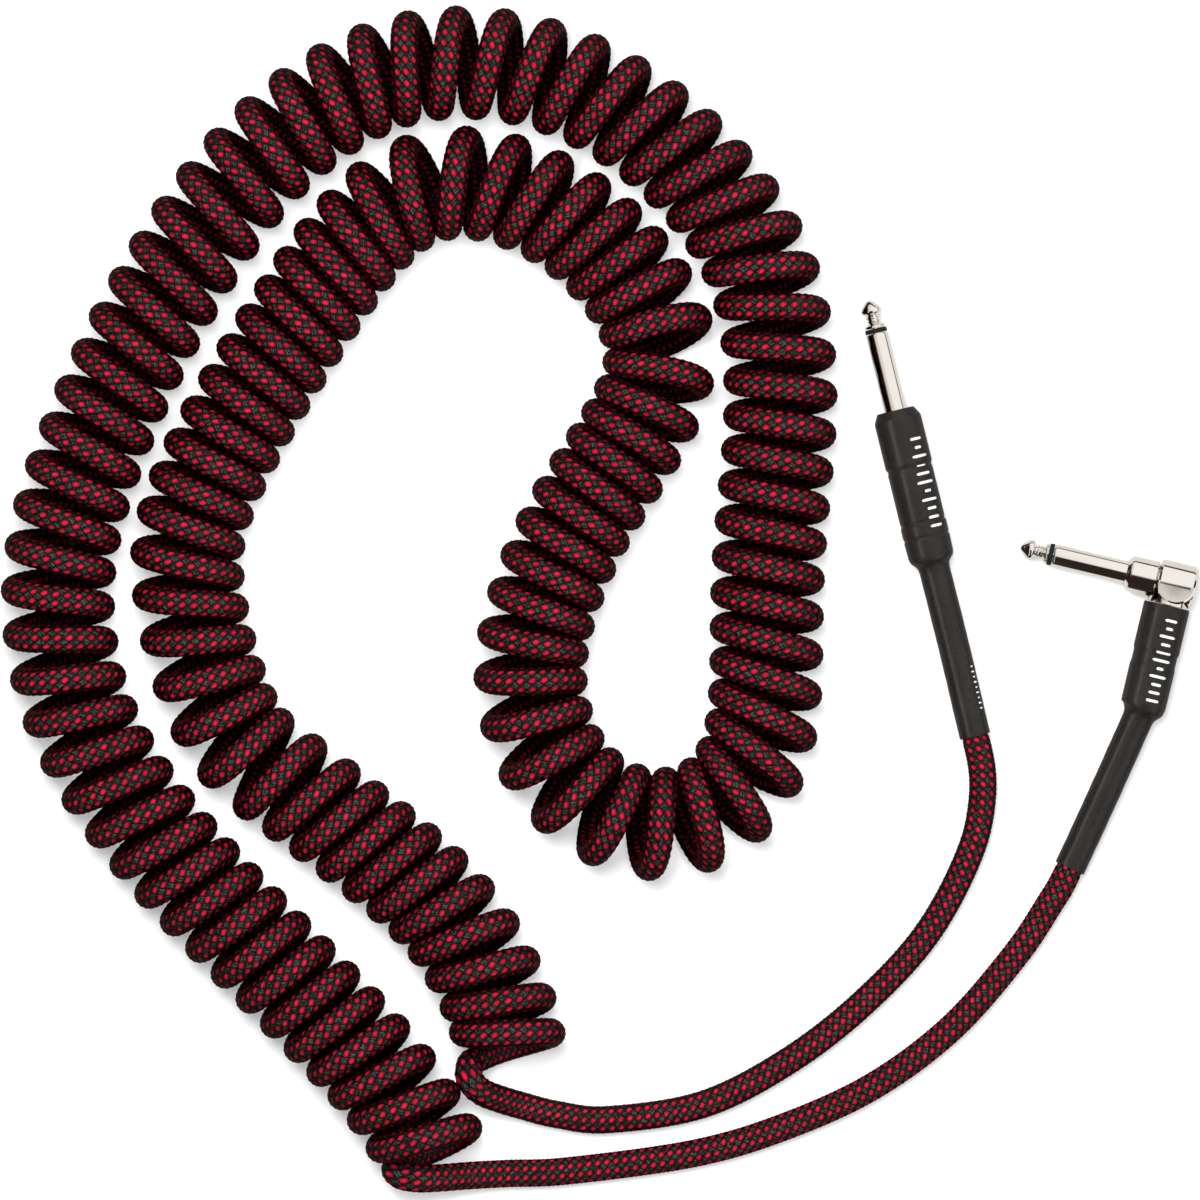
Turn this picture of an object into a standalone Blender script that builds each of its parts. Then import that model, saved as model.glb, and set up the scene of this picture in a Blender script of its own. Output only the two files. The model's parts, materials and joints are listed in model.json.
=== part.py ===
"""Coiled instrument cable with a straight and a right-angle quarter-inch plug, lying flat on a table.

One braided cable is wound as a left-handed helix along a looping route. End A runs out of the coil to
the straight plug and end B to the right-angle plug. Lengths below are in millimetres and are turned
into metres when a mesh is made. Turns are counted along the coil: a whole number is a turn's tip on the
right-hand side of the route and a half number is its tip on the left-hand side.
"""
import math

import bmesh
import bpy
from mathutils import Matrix, Vector

MM = 0.001
UP = (0, 0, 1)

# ---- cable ----
CABLE_R = 4.0
COIL_R = 12.2
COIL_Z = COIL_R + CABLE_R
COIL_SIDES = 5
STEPS_PER_TURN = 8
LEAD_STEP = 12.0
ROOT_STEP = 5.0
LEAD_SIDES = 8
END_STEP = 0.5
END_TURN = 0.01
SECTION_GAP = 0.3

# Layers of the cable as (outer radius, inner radius, sides), from the woven jacket to the conductor.
LAYERS = {
    "braid": (4.0, 3.5, LEAD_SIDES),
    "inner_jacket": (3.2, 2.5, LEAD_SIDES),
    "shield": (2.2, 1.9, LEAD_SIDES),
    "core_insulation": (1.6, 0.8, LEAD_SIDES),
    "conductor": (0.5, 0.0, 6),
}
BRAID_R_IN_BOOT = 3.7

# Centreline of the coil as (x, y, turns so far, lean of the turns along the route).
COIL_ROUTE = (
    (-24.8, -127.0, -1.4, 0.5),
    (-29.5, -110.5, 0.5, 1.0),
    (-45.5, -85.0, 3.4, 0.5),
    (-80.5, -56.5, 8.2, 1.0),
    (-104.0, -36.5, 10.9, -2.5),
    (-116.0, 4.0, 14.7, 1.5),
    (-111.0, 32.5, 17.6, -1.5),
    (-87.0, 75.0, 22.8, 0.5),
    (-61.0, 109.5, 27.5, 1.0),
    (-36.5, 117.5, 29.6, 0.0),
    (-7.5, 106.5, 32.5, 0.0),
    (14.5, 81.0, 36.0, -1.0),
    (14.5, 56.0, 38.0, -2.0),
    (-8.5, 18.5, 42.9, -0.5),
    (-20.0, -18.0, 46.8, -1.5),
    (-12.0, -47.5, 49.5, -2.0),
    (9.0, -62.5, 51.6, -1.0),
    (32.0, -59.0, 53.5, 0.5),
    (45.5, -37.5, 55.7, 2.5),
    (47.0, 9.5, 60.3, 0.0),
    (51.0, 60.0, 65.3, -0.5),
    (43.5, 98.0, 68.7, 1.5),
    (17.0, 130.0, 72.6, 0.5),
    (-17.5, 148.5, 76.1, -0.5),
    (-55.5, 149.5, 79.3, 0.5),
    (-89.5, 130.0, 82.9, -0.5),
    (-117.0, 95.5, 86.7, 1.0),
    (-140.5, 49.5, 91.5, 0.0),
    (-152.5, 7.5, 95.6, -0.5),
    (-146.5, -32.5, 99.2, 0.0),
    (-123.0, -69.0, 103.2, 0.5),
    (-84.5, -109.0, 108.8, -0.5),
    (-61.5, -133.5, 112.25, 0.5),
    (-49.5, -151.0, 114.25, 1.5),
    (-46.5, -156.5, 115.0, 2.0),
)
COIL_START = -1.4
COIL_END = 114.9

# Lead A from the coil to the barrel of the straight plug, and lead B to the barrel of the angle plug.
LEAD_A = (
    (-36.8, -131.6, 13.2),
    (-36.4, -135.0, 15.4),
    (-33.4, -138.2, 13.4),
    (-28.4, -140.4, 9.0),
    (-22.5, -142.3, 5.2),
    (-12.0, -145.0, 4.1),
    (2.5, -146.4, 4.0),
    (29.1, -142.1, 4.0),
    (53.2, -129.8, 4.0),
    (74.5, -113.2, 4.0),
    (92.7, -93.2, 4.0),
    (105.0, -69.2, 4.0),
    (108.2, -50.0, 4.2),
    (106.1, -40.3, 4.4),
    (99.9, -14.0, 5.5),
    (93.3, 12.2, 6.7),
)
LEAD_B = (
    (-56.6, -161.4, 14.6),
    (-51.5, -162.6, 15.2),
    (-44.5, -162.5, 11.6),
    (-37.0, -162.1, 7.0),
    (-26.5, -161.6, 4.4),
    (-8.5, -160.8, 4.0),
    (27.2, -155.8, 4.0),
    (53.1, -148.0, 4.0),
    (77.6, -136.6, 4.0),
    (99.2, -120.4, 4.0),
    (117.0, -100.1, 4.0),
    (127.0, -85.1, 4.2),
    (131.5, -77.2, 4.4),
    (142.0, -54.5, 5.4),
    (152.8, -30.3, 6.7),
)

# Cuts along the coil, as turn numbers: one solid per section.
END_A_CUT = 3.5
TAIL_B_CUT = 100.0
END_B_CUT = 109.5
MAIN_SECTION_TURNS = 16.0

# Places along a lead, as distances (mm) from the coil: where the lead bends and where its boot begins.
LEAD_A_HINGE = 26.0
PLUG_A_HINGE = 175.0
LEAD_B_HINGE = 38.0
PLUG_B_HINGE = 180.0

# ---- plugs ----
PLUG_SEGMENTS = 16
SLEEVE_R = 3.175
PLUG_AXIS_Z = 6.7
STRAIGHT_SHOULDER = (83.1, 53.8, PLUG_AXIS_Z)
STRAIGHT_HEADING = 103.7
ANGLE_SHOULDER = (149.0, 7.6, PLUG_AXIS_Z)
ANGLE_HEADING = 166.6
ELBOW_SET_BACK = 12.5
BOOT_NECK = 1.7
BOOT_LENGTH = 54.0
ANGLE_BOOT_LENGTH = 51.5
BOOT_R = 4.4
BOOT_BORE = 4.0
ROD_R = 1.1
LINER_R = (4.6, 4.4)
BARREL_BORE = 4.95

# How far behind the plug's shoulder (or the elbow's centre) each layer of the cable ends.
STRAIGHT_ENDS = {
    "braid": 32.0,
    "inner_jacket": 25.0,
    "shield": 23.5,
    "core_insulation": 18.5,
    "conductor": 13.5,
}
ANGLE_ENDS = {
    "braid": 26.0,
    "inner_jacket": 19.0,
    "shield": 17.5,
    "core_insulation": 12.5,
    "conductor": 7.5,
}

# Outline of each shrink boot as (distance behind the front, outer radius, bore radius).
STRAIGHT_SHRINK = (
    (0.1, 5.3, 5.1),
    (2.8, 6.7, 6.25),
    (16.0, 6.7, 6.25),
    (16.7, 6.3, 5.95),
    (17.4, 6.4, 5.95),
    (32.1, 6.4, 5.95),
    (32.8, 6.15, 5.8),
    (33.5, 6.6, 6.1),
    (36.5, 6.6, 6.1),
    (37.1, 6.25, 5.85),
    (37.7, 6.6, 6.1),
    (40.6, 6.4, 5.85),
    (42.8, 5.2, 4.85),
)
STRAIGHT_BARREL = (
    (0.5, 4.98),
    (3.2, 5.95),
    (15.7, 5.95),
    (16.5, 5.65),
    (32.3, 5.65),
    (32.9, 5.5),
    (33.6, 5.8),
    (36.4, 5.8),
    (37.1, 5.6),
    (37.8, 5.8),
    (40.2, 5.6),
    (42.2, 4.6),
)
ANGLE_SHRINK = (
    (6.4, 6.6, 6.15),
    (19.6, 6.6, 6.15),
    (20.3, 6.25, 5.9),
    (23.3, 6.25, 5.9),
    (24.0, 6.5, 6.1),
    (34.0, 6.5, 6.1),
    (36.0, 5.4, 5.0),
)
ANGLE_BARREL = (
    (6.6, 5.85),
    (19.4, 5.85),
    (20.2, 5.6),
    (23.4, 5.6),
    (24.1, 5.8),
    (33.4, 5.8),
    (35.6, 4.7),
)

NICKEL = ((0.78, 0.75, 0.70), 0.15, 1.0)
BRASS = ((0.72, 0.55, 0.25), 0.35, 1.0)
COPPER = ((0.75, 0.38, 0.22), 0.40, 1.0)
SOLDER = ((0.60, 0.60, 0.62), 0.45, 1.0)
SHRINK = ((0.045, 0.04, 0.038), 0.50, 0.0)
BLACK_PLASTIC = ((0.03, 0.03, 0.03), 0.40, 0.0)
CLEAR_PLASTIC = ((0.75, 0.73, 0.68), 0.35, 0.0)
BRAID = ((0.18, 0.02, 0.04), 0.80, 0.0)
JACKET = ((0.05, 0.05, 0.05), 0.60, 0.0)
CORE = ((0.80, 0.80, 0.78), 0.50, 0.0)
LAYER_LOOKS = {
    "braid": BRAID,
    "inner_jacket": JACKET,
    "shield": COPPER,
    "core_insulation": CORE,
    "conductor": COPPER,
}


# ---- scene and mesh helpers ----
def clear_scene():
    for old in list(bpy.data.objects):
        bpy.data.objects.remove(old)


def make_material(name, look):
    colour, roughness, metallic = look
    material = bpy.data.materials.new(name)
    material.use_nodes = True
    shader = material.node_tree.nodes["Principled BSDF"]
    shader.inputs["Base Color"].default_value = (*colour, 1.0)
    shader.inputs["Roughness"].default_value = roughness
    shader.inputs["Metallic"].default_value = metallic
    return material


def make_object(name, vertices, faces, look, parent, place=None):
    """A closed mesh object; vertices in millimetres, placed by a matrix whose lengths are metres."""
    mesh = bpy.data.meshes.new(name)
    mesh.from_pydata([Vector(v) * MM for v in vertices], [], faces)
    shell = bmesh.new()
    shell.from_mesh(mesh)
    bmesh.ops.recalc_face_normals(shell, faces=shell.faces)
    shell.to_mesh(mesh)
    shell.free()
    mesh.shade_smooth()
    mesh.set_sharp_from_angle(angle=math.radians(40))
    mesh.materials.append(make_material(name, look))
    made = bpy.data.objects.new(name, mesh)
    bpy.context.scene.collection.objects.link(made)
    made.parent = parent
    made.matrix_parent_inverse = parent_place(parent).inverted()
    if place is not None:
        made.matrix_basis = place
    return made


def parent_place(empty):
    """World matrix of an empty, all of whose parents are only moved and never turned."""
    place = Matrix.Translation(empty.location)
    if empty.parent is None:
        return place
    return parent_place(empty.parent) @ place


def make_body(name, world_point, parent=None):
    """An empty on a joint's axis; everything that moves with the joint hangs under it."""
    empty = bpy.data.objects.new(name, None)
    bpy.context.scene.collection.objects.link(empty)
    point = Vector(world_point) * MM
    if parent is not None:
        empty.parent = parent
        point -= parent_place(parent).to_translation()
    empty.location = point
    return empty


def ring_faces(first, second, sides):
    """Quads between two rings of vertices that start at the given indices."""
    return [
        (first + k, first + (k + 1) % sides, second + (k + 1) % sides, second + k)
        for k in range(sides)
    ]


def lathe(name, place, profile, look, parent, segments=PLUG_SEGMENTS):
    """Turns an outline of (distance along X, radius) about X. An open outline starts and ends at radius 0;
    a closed one makes a part with a bore."""
    hollow = profile[0][1] > 0
    rows = profile if hollow else profile[1:-1]
    vertices = []
    for along, radius in rows:
        for k in range(segments):
            turn = 2 * math.pi * (k + 0.5) / segments
            vertices.append((along, radius * math.cos(turn), radius * math.sin(turn)))
    faces = []
    for row in range(len(rows) - 1):
        faces += ring_faces(row * segments, (row + 1) * segments, segments)
    last = (len(rows) - 1) * segments
    if hollow:
        faces += ring_faces(last, 0, segments)
    else:
        vertices.append((profile[0][0], 0, 0))
        vertices.append((profile[-1][0], 0, 0))
        start_tip, end_tip = len(vertices) - 2, len(vertices) - 1
        faces += [((k + 1) % segments, k, start_tip) for k in range(segments)]
        faces += [(last + k, last + (k + 1) % segments, end_tip) for k in range(segments)]
    return make_object(name, vertices, faces, look, parent, place)


def sweep(name, points, frames, radii, look, parent, sides, bores=None):
    """A rod along points, or a tube where bores gives an inner radius for each point."""
    vertices = []
    for rings in (radii, bores):
        if rings is None:
            continue
        for point, (across, up), radius in zip(points, frames, rings):
            for k in range(sides):
                turn = 2 * math.pi * k / sides
                vertices.append(point + radius * (math.cos(turn) * across + math.sin(turn) * up))
    count = len(points)
    faces = []
    for row in range(count - 1):
        faces += ring_faces(row * sides, (row + 1) * sides, sides)
    last = (count - 1) * sides
    if bores is None:
        faces.append(tuple(reversed(range(sides))))
        faces.append(tuple(last + k for k in range(sides)))
    else:
        inner = count * sides
        for row in range(count - 1):
            faces += ring_faces(inner + (row + 1) * sides, inner + row * sides, sides)
        faces += ring_faces(inner, 0, sides)
        faces += ring_faces(last, inner + last, sides)
    return make_object(name, vertices, faces, look, parent)


def box(name, place, low, high, look, parent):
    corners = [
        (x, y, z) for x in (low[0], high[0]) for y in (low[1], high[1]) for z in (low[2], high[2])
    ]
    faces = [(0, 1, 3, 2), (4, 6, 7, 5), (0, 4, 5, 1), (2, 3, 7, 6), (0, 2, 6, 4), (1, 5, 7, 3)]
    return make_object(name, corners, faces, look, parent, place)


# ---- the line of the cable ----
def through(rows, where):
    """A point on the smooth line through rows; where counts rows and may lie between two."""
    last = len(rows) - 1
    first = min(max(int(where), 0), last - 1)
    t = where - first
    b, c = rows[first], rows[first + 1]
    a = rows[first - 1] if first > 0 else [2 * p - q for p, q in zip(b, c)]
    d = rows[first + 2] if first + 2 <= last else [2 * q - p for p, q in zip(b, c)]
    return [
        0.5 * (2 * q + (r - p) * t + (2 * p - 5 * q + 4 * r - s) * t**2 + (3 * q - p - 3 * r + s) * t**3)
        for p, q, r, s in zip(a, b, c, d)
    ]


def relaxed(rows, reach):
    """Each row replaced by the mean of its neighbours within reach, which evens out the curvature."""
    smooth = []
    for k in range(len(rows)):
        near = min(reach, k, len(rows) - 1 - k)
        window = rows[k - near : k + near + 1]
        smooth.append([sum(column) / len(window) for column in zip(*window)])
    return smooth


def coil_route():
    """Finely spaced rows of (x, y, turns, lean) along the coil's centreline."""
    fine = 40
    count = (len(COIL_ROUTE) - 1) * fine
    rows = [through(COIL_ROUTE, k / fine) for k in range(count + 1)]
    return relaxed(relaxed(rows, 10), 10)


def wire_point(route, turn):
    """Centre of the cable at a turn number, and the direction that points away from the coil's axis."""
    low, high = 1, len(route) - 2
    while high - low > 1:
        middle = (low + high) // 2
        if route[middle][2] < turn:
            low = middle
        else:
            high = middle
    before, after = route[low], route[high]
    share = (turn - before[2]) / (after[2] - before[2])
    x, y, _, lean = [p + (q - p) * share for p, q in zip(before, after)]
    ahead = Vector((route[high + 1][0] - route[low - 1][0], route[high + 1][1] - route[low - 1][1], 0))
    ahead.normalize()
    left = Vector((-ahead.y, ahead.x, 0))
    angle = math.pi * (1 - 2 * turn)
    outward = left * math.cos(angle) + Vector((0, 0, math.sin(angle)))
    centre = Vector((x, y, COIL_Z)) + ahead * lean * math.cos(angle)
    return centre + COIL_R * outward, outward


def tangents(line):
    """Unit direction at each inner point of a line whose outermost points lie close to their neighbours."""
    last = len(line) - 2
    spans = [(max(k - 1, 0), min(k + 1, last + 1)) for k in range(1, last + 1)]
    spans[0] = (0, 1)
    spans[-1] = (last, last + 1)
    return [(line[b] - line[a]).normalized() for a, b in spans]


def carried_frames(line, hint):
    """For each inner point of the line a pair of unit vectors square to it; the first vector starts near
    hint and is carried along without twisting."""
    pairs = []
    across = hint
    for ahead in tangents(line):
        across = (across - ahead * across.dot(ahead)).normalized()
        pairs.append((across, ahead.cross(across)))
    return pairs


def outward_frames(line, outwards):
    """Like carried_frames, but every point has its own hint."""
    pairs = []
    for ahead, outward in zip(tangents(line), outwards):
        across = (outward - ahead * outward.dot(ahead)).normalized()
        pairs.append((across, ahead.cross(across)))
    return pairs


def trimmed(line):
    """The inner points of a line, both ends pulled in by half a section gap."""
    points = line[1:-1]
    ahead = tangents(line)
    first = points[0] + ahead[0] * SECTION_GAP / 2
    last = points[-1] - ahead[-1] * SECTION_GAP / 2
    return [first, *points[1:-1], last]


def lead_points(start, rows):
    """Fine points along a lead that leaves the coil through the two points in start."""
    fine = 24
    controls = [tuple(p) for p in start] + list(rows)
    count = (len(controls) - 2) * fine
    return [Vector(through(controls, 1 + k / fine)) for k in range(count + 1)]


def distances(points):
    """Distance of each point from the first, along the line."""
    total = [0.0]
    for a, b in zip(points, points[1:]):
        total.append(total[-1] + (b - a).length)
    return total


def point_at(points, measure, distance):
    k = 1
    while k < len(points) - 1 and measure[k] < distance:
        k += 1
    share = (distance - measure[k - 1]) / (measure[k] - measure[k - 1])
    return points[k - 1].lerp(points[k], share)


def stretch_of(points, measure, start, end, step=LEAD_STEP):
    """Evenly spaced points between two distances, with one more point just outside each end."""
    count = max(1, round((end - start) / step))
    inner = [point_at(points, measure, start + (end - start) * k / count) for k in range(count + 1)]
    return [
        point_at(points, measure, start - END_STEP),
        *inner,
        point_at(points, measure, end + END_STEP),
    ]


# ---- cable ----
def coil_section(name, route, start, end, parent):
    """A solid rod along the coil from one turn number to another, short of each by half the gap."""
    count = round((end - start) * STEPS_PER_TURN)
    turns = [start + (end - start) * k / count for k in range(count + 1)]
    turns = [start - END_TURN, *turns, end + END_TURN]
    places = [wire_point(route, turn) for turn in turns]
    line = [place[0] for place in places]
    frames = outward_frames(line, [place[1] for place in places[1:-1]])
    radii = [CABLE_R] * len(frames)
    return sweep(name, trimmed(line), frames, radii, BRAID, parent, COIL_SIDES)


def coil_end(name, route, cut, end, lead, parent):
    """The last turns of the coil, from the cut to the end, and the start of the lead in one solid."""
    count = round(abs(end - cut) * STEPS_PER_TURN)
    turns = [cut + (end - cut) * k / count for k in range(count)]
    turns.insert(0, cut + (END_TURN if end < cut else -END_TURN))
    line = [wire_point(route, turn)[0] for turn in turns] + lead[1:]
    frames = carried_frames(line, wire_point(route, cut)[1])
    radii = [CABLE_R] * len(frames)
    return sweep(name, trimmed(line), frames, radii, BRAID, parent, COIL_SIDES)


def rod(name, line, parent, look, sides, radii, bores=None):
    frames = carried_frames(line, Vector((0, 0, 1)))
    return sweep(name, trimmed(line), frames, radii, look, parent, sides, bores)


def layered_cable(prefix, line, parent, squeezed_from=None, axis_start=None, axis=None, ends=None):
    """The cable's layers over one stretch, each its own solid. In a plug the layers go on along the
    plug's axis and end one after another; the braid is squeezed from one point of the line on."""
    for layer, (outer, inner, sides) in LAYERS.items():
        path = list(line)
        if ends is not None:
            path[-1] = axis_start + axis * ends[layer]
            path.append(axis_start + axis * (ends[layer] - END_STEP))
        radii = [outer] * (len(path) - 2)
        if layer == "braid" and squeezed_from is not None:
            radii = [outer if k < squeezed_from else BRAID_R_IN_BOOT for k in range(len(radii))]
        bores = [inner] * len(radii) if inner > 0 else None
        rod(f"{prefix}_{layer}", path, parent, LAYER_LOOKS[layer], sides, radii, bores)


# ---- plug parts shared by both plugs ----
def tip_contact(prefix, place, rod_end, parent):
    """The turned tip with its neck and flange, and the rod that carries it through the sleeve."""
    profile = (
        (31.5, 0.0),
        (31.2, 0.7),
        (28.6, 2.85),
        (28.0, 2.85),
        (27.4, 1.7),
        (26.7, 1.5),
        (26.4, 1.9),
        (25.9, 1.9),
        (25.6, 1.5),
        (24.9, 1.6),
        (24.3, 2.6),
        (23.7, 2.95),
        (23.5, 2.95),
        (23.5, ROD_R),
        (rod_end, ROD_R),
        (rod_end, 0.0),
    )
    return lathe(f"{prefix}_tip_contact", place, profile, NICKEL, parent)


def tube_profile(start, end, outer, inner):
    return ((start, outer), (end, outer), (end, inner), (start, inner))


def insulators(prefix, place, back, parent):
    ring = tube_profile(23.2, 22.1, 3.1, 1.4)
    tube = tube_profile(21.8, back, 1.9, 1.4)
    lathe(f"{prefix}_tip_insulator", place, ring, BLACK_PLASTIC, parent)
    lathe(f"{prefix}_rod_insulator", place, tube, CLEAR_PLASTIC, parent, 12)


def hollow_from(rows, bore):
    """A closed outline from rows of (distance, outer radius), with a plain bore."""
    return (*rows, (rows[-1][0], bore), (rows[0][0], bore))


def ground_clamp(prefix, place, start, claw, end, parent):
    """A bent brass strip from start to end behind the shoulder; beyond claw it wraps the inner jacket."""
    radius = 3.9
    wrap = [math.radians(a) for a in (-125, -95, -70, -45, -20, 20, 45, 70, 95, 125)]
    strip = (4, 5)
    alongs = (start, claw, end)
    vertices = []
    for along in alongs:
        for angle in wrap:
            vertices.append((along, radius * math.sin(angle), -radius * math.cos(angle)))
    count = len(wrap)
    faces = []
    for row in range(len(alongs) - 1):
        for k in range(count - 1):
            if row == 0 and (k, k + 1) != strip:
                continue
            a = row * count + k
            faces.append((a, a + 1, a + count + 1, a + count))
    used = sorted({index for face in faces for index in face})
    renumber = {old: new for new, old in enumerate(used)}
    faces = [tuple(renumber[index] for index in face) for face in faces]
    made = make_object(f"{prefix}_ground_clamp", [vertices[i] for i in used], faces, BRASS, parent, place)
    solid = made.modifiers.new("sheet", "SOLIDIFY")
    solid.thickness = 0.35 * MM
    solid.offset = 0
    return made


def bead(name, place, centre, radius, length, parent):
    """A small solder bead, longer along the wire than it is wide."""
    steps = 4
    profile = []
    for k in range(steps + 1):
        angle = math.pi * k / steps
        size = 0.0 if k in (0, steps) else radius * math.sin(angle)
        profile.append((centre[0] + length * math.cos(angle) / 2, size))
    shifted = place @ Matrix.Translation(Vector((0, centre[1], centre[2])) * MM)
    return lathe(name, shifted, profile, SOLDER, parent, 8)


def wiring(prefix, place, sense, ends, lug_start, parent):
    """Lug, clamp, solder and shield pigtail. sense is -1 where the cable comes along -X, else 1."""
    lug_end = ends["conductor"] + 1.5
    xs = sorted((sense * lug_start, sense * lug_end))
    box(f"{prefix}_tip_lug", place, (xs[0], -1.2, -1.25), (xs[1], 1.2, -0.8), BRASS, parent)
    tip_x = sense * (ends["conductor"] - 1.4)
    bead(f"{prefix}_tip_solder", place, (tip_x, 0, 0.05), 0.7, 1.8, parent)
    clamp = [sense * d for d in (lug_end + 0.5, ends["inner_jacket"] + 1.0, ends["inner_jacket"] + 5.0)]
    ground_clamp(prefix, place, *clamp, parent)
    twist_start = ends["shield"] - 0.8
    steps = ((1.0, -1.7), (0.0, -2.0), (-1.5, -2.5), (-3.0, -2.9), (-4.0, -2.9))
    twist = [Vector((sense * (twist_start + x), 0, z)) for x, z in steps]
    strand = rod(f"{prefix}_shield_pigtail", twist, parent, COPPER, 6, [0.35] * 3)
    strand.matrix_basis = place
    bead(f"{prefix}_ground_solder", place, (sense * (twist_start - 4.2), 0, -2.95), 0.5, 1.5, parent)


def shrink_boot(name, axis_front, axis, outline, tail, parent):
    """One shrink tube: turned outline along the plug's axis, then a plain tube along the cable. The tail
    runs from the boot's open end to the barrel, with one more point before it."""
    line = [axis_front + axis * (outline[0][0] - END_STEP)]
    line += [axis_front + axis * row[0] for row in outline]
    line += list(reversed(tail))
    radii = [row[1] for row in outline] + [BOOT_R] * (len(tail) - 1)
    bores = [row[2] for row in outline] + [BOOT_BORE] * (len(tail) - 1)
    frames = carried_frames(line, Vector((0, 0, 1)))
    return sweep(name, line[1:-1], frames, radii, SHRINK, parent, PLUG_SEGMENTS, bores)


def plug_place(corner, heading):
    return Matrix.Translation(Vector(corner) * MM) @ Matrix.Rotation(math.radians(heading), 4, "Z")


def direction(heading):
    return Vector((math.cos(math.radians(heading)), math.sin(math.radians(heading)), 0))


# ---- the two plugs ----
def straight_plug(tail, parent):
    place = plug_place(STRAIGHT_SHOULDER, STRAIGHT_HEADING)
    name = "straight"
    tip_contact(name, place, -10.0, parent)
    insulators(name, place, -8.0, parent)
    sleeve = (
        (21.8, 3.0),
        (21.5, SLEEVE_R),
        (0.0, SLEEVE_R),
        (0.0, 4.6),
        (-1.5, 4.6),
        (-1.5, 4.2),
        (-8.0, 4.2),
    )
    lathe("straight_sleeve", place, hollow_from(sleeve, 2.2), NICKEL, parent)
    washer = tube_profile(-8.3, -9.2, 4.1, 1.4)
    lathe("straight_insulating_washer", place, washer, BLACK_PLASTIC, parent)
    barrel = [(-d, r) for d, r in STRAIGHT_BARREL]
    barrel = (*barrel, (-42.2, 4.3), (-39.5, BARREL_BORE), (-3.0, BARREL_BORE), (-0.5, 4.8))
    lathe("straight_barrel", place, barrel, BRASS, parent)
    lathe("straight_liner", place, tube_profile(-9.6, -38.0, *LINER_R), CLEAR_PLASTIC, parent)
    wiring(name, place, -1, STRAIGHT_ENDS, 10.3, parent)
    axis = -direction(STRAIGHT_HEADING)
    front = Vector(STRAIGHT_SHOULDER)
    shrink_boot("straight_shrink_boot", front, axis, STRAIGHT_SHRINK, tail, parent)


def elbow(place, barrel_place, parent):
    """The cast elbow: a drum on the plug's axis with a stub on the barrel's axis, bored both ways."""
    drum = (
        (-8.5, 0.0),
        (-8.5, 5.3),
        (-9.4, 6.2),
        (-17.3, 6.2),
        (-18.4, 5.7),
        (-18.9, 4.7),
        (-19.1, 3.5),
        (-19.1, 0.0),
    )
    body = lathe("angle_elbow", place, drum, NICKEL, parent, 24)
    stub = ((0.0, 0.0), (0.0, 5.85), (6.1, 5.85), (6.1, 0.0))
    wire_bore = ((-4.0, 0.0), (-4.0, 4.6), (7.0, 4.6), (7.0, 0.0))
    sleeve_bore = ((-7.0, 0.0), (-7.0, 3.5), (-12.5, 3.5), (-12.5, 0.0))
    collar_room = ((0.0, 0.0), (0.0, 5.45), (-8.5, 5.45), (-8.5, 0.0))
    for name, where, profile, operation in (
        ("elbow_stub", barrel_place, stub, "UNION"),
        ("elbow_wire_bore", barrel_place, wire_bore, "DIFFERENCE"),
        ("elbow_sleeve_bore", place, sleeve_bore, "DIFFERENCE"),
        ("elbow_collar_room", place, collar_room, "DIFFERENCE"),
    ):
        tool = lathe(name, where, profile, NICKEL, parent, 20)
        tool.hide_render = True
        tool.display_type = "WIRE"
        cut = body.modifiers.new(name, "BOOLEAN")
        cut.object = tool
        cut.operation = operation
        cut.solver = "EXACT"
    return body


def angle_plug(tail, parent):
    place = plug_place(ANGLE_SHOULDER, ANGLE_HEADING)
    heading = ANGLE_HEADING + 90.0
    centre = Vector(ANGLE_SHOULDER) - direction(ANGLE_HEADING) * ELBOW_SET_BACK
    barrel_place = plug_place(centre, heading)
    name = "angle"
    tip_contact(name, place, -14.0, parent)
    insulators(name, place, -10.5, parent)
    sleeve = ((21.8, 3.0), (21.5, SLEEVE_R), (-10.5, SLEEVE_R))
    lathe("angle_sleeve", place, hollow_from(sleeve, 2.2), NICKEL, parent)
    collar = ((0.0, 4.6), (-0.6, 5.15), (-7.4, 5.15), (-8.2, 4.7))
    lathe("angle_collar", place, hollow_from(collar, 3.5), NICKEL, parent)
    elbow(place, barrel_place, parent)
    barrel = (*ANGLE_BARREL, (35.6, 4.3), (33.0, BARREL_BORE), (6.6, BARREL_BORE))
    lathe("angle_barrel", barrel_place, barrel, BRASS, parent)
    lathe("angle_liner", barrel_place, tube_profile(7.5, 31.5, *LINER_R), CLEAR_PLASTIC, parent)
    wiring(name, barrel_place, 1, ANGLE_ENDS, 1.6, parent)
    axis = direction(heading)
    shrink_boot("angle_shrink_boot", centre, axis, ANGLE_SHRINK, tail, parent)


# ---- the whole cable ----
def bend_axis_point(points, measure, distance, offset):
    """The point on a lead's surface where a bend's hinge lies."""
    return point_at(points, measure, distance) + Vector(offset) * CABLE_R


def sections(start, end, turns):
    """Turn numbers that cut the coil between start and end into near-equal sections."""
    count = round((end - start) / turns)
    return [start + (end - start) * k / count for k in range(count + 1)]


def side_of(points, measure, distance):
    """Unit vector to the right of a lead, seen from above, at a distance along it."""
    ahead = point_at(points, measure, distance + 1) - point_at(points, measure, distance - 1)
    ahead.normalize()
    return Vector((ahead.y, -ahead.x, 0))


def settle(root):
    """Moves everything so that the origin is the middle of the underside of the whole cable."""
    bpy.context.view_layer.update()
    corners = [
        made.matrix_world @ vertex.co
        for made in bpy.data.objects
        if made.type == "MESH" and not made.hide_render
        for vertex in made.data.vertices
    ]
    low = [min(corner[axis] for corner in corners) for axis in range(3)]
    high = [max(corner[axis] for corner in corners) for axis in range(3)]
    root.location = (-(low[0] + high[0]) / 2, -(low[1] + high[1]) / 2, -low[2])


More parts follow.
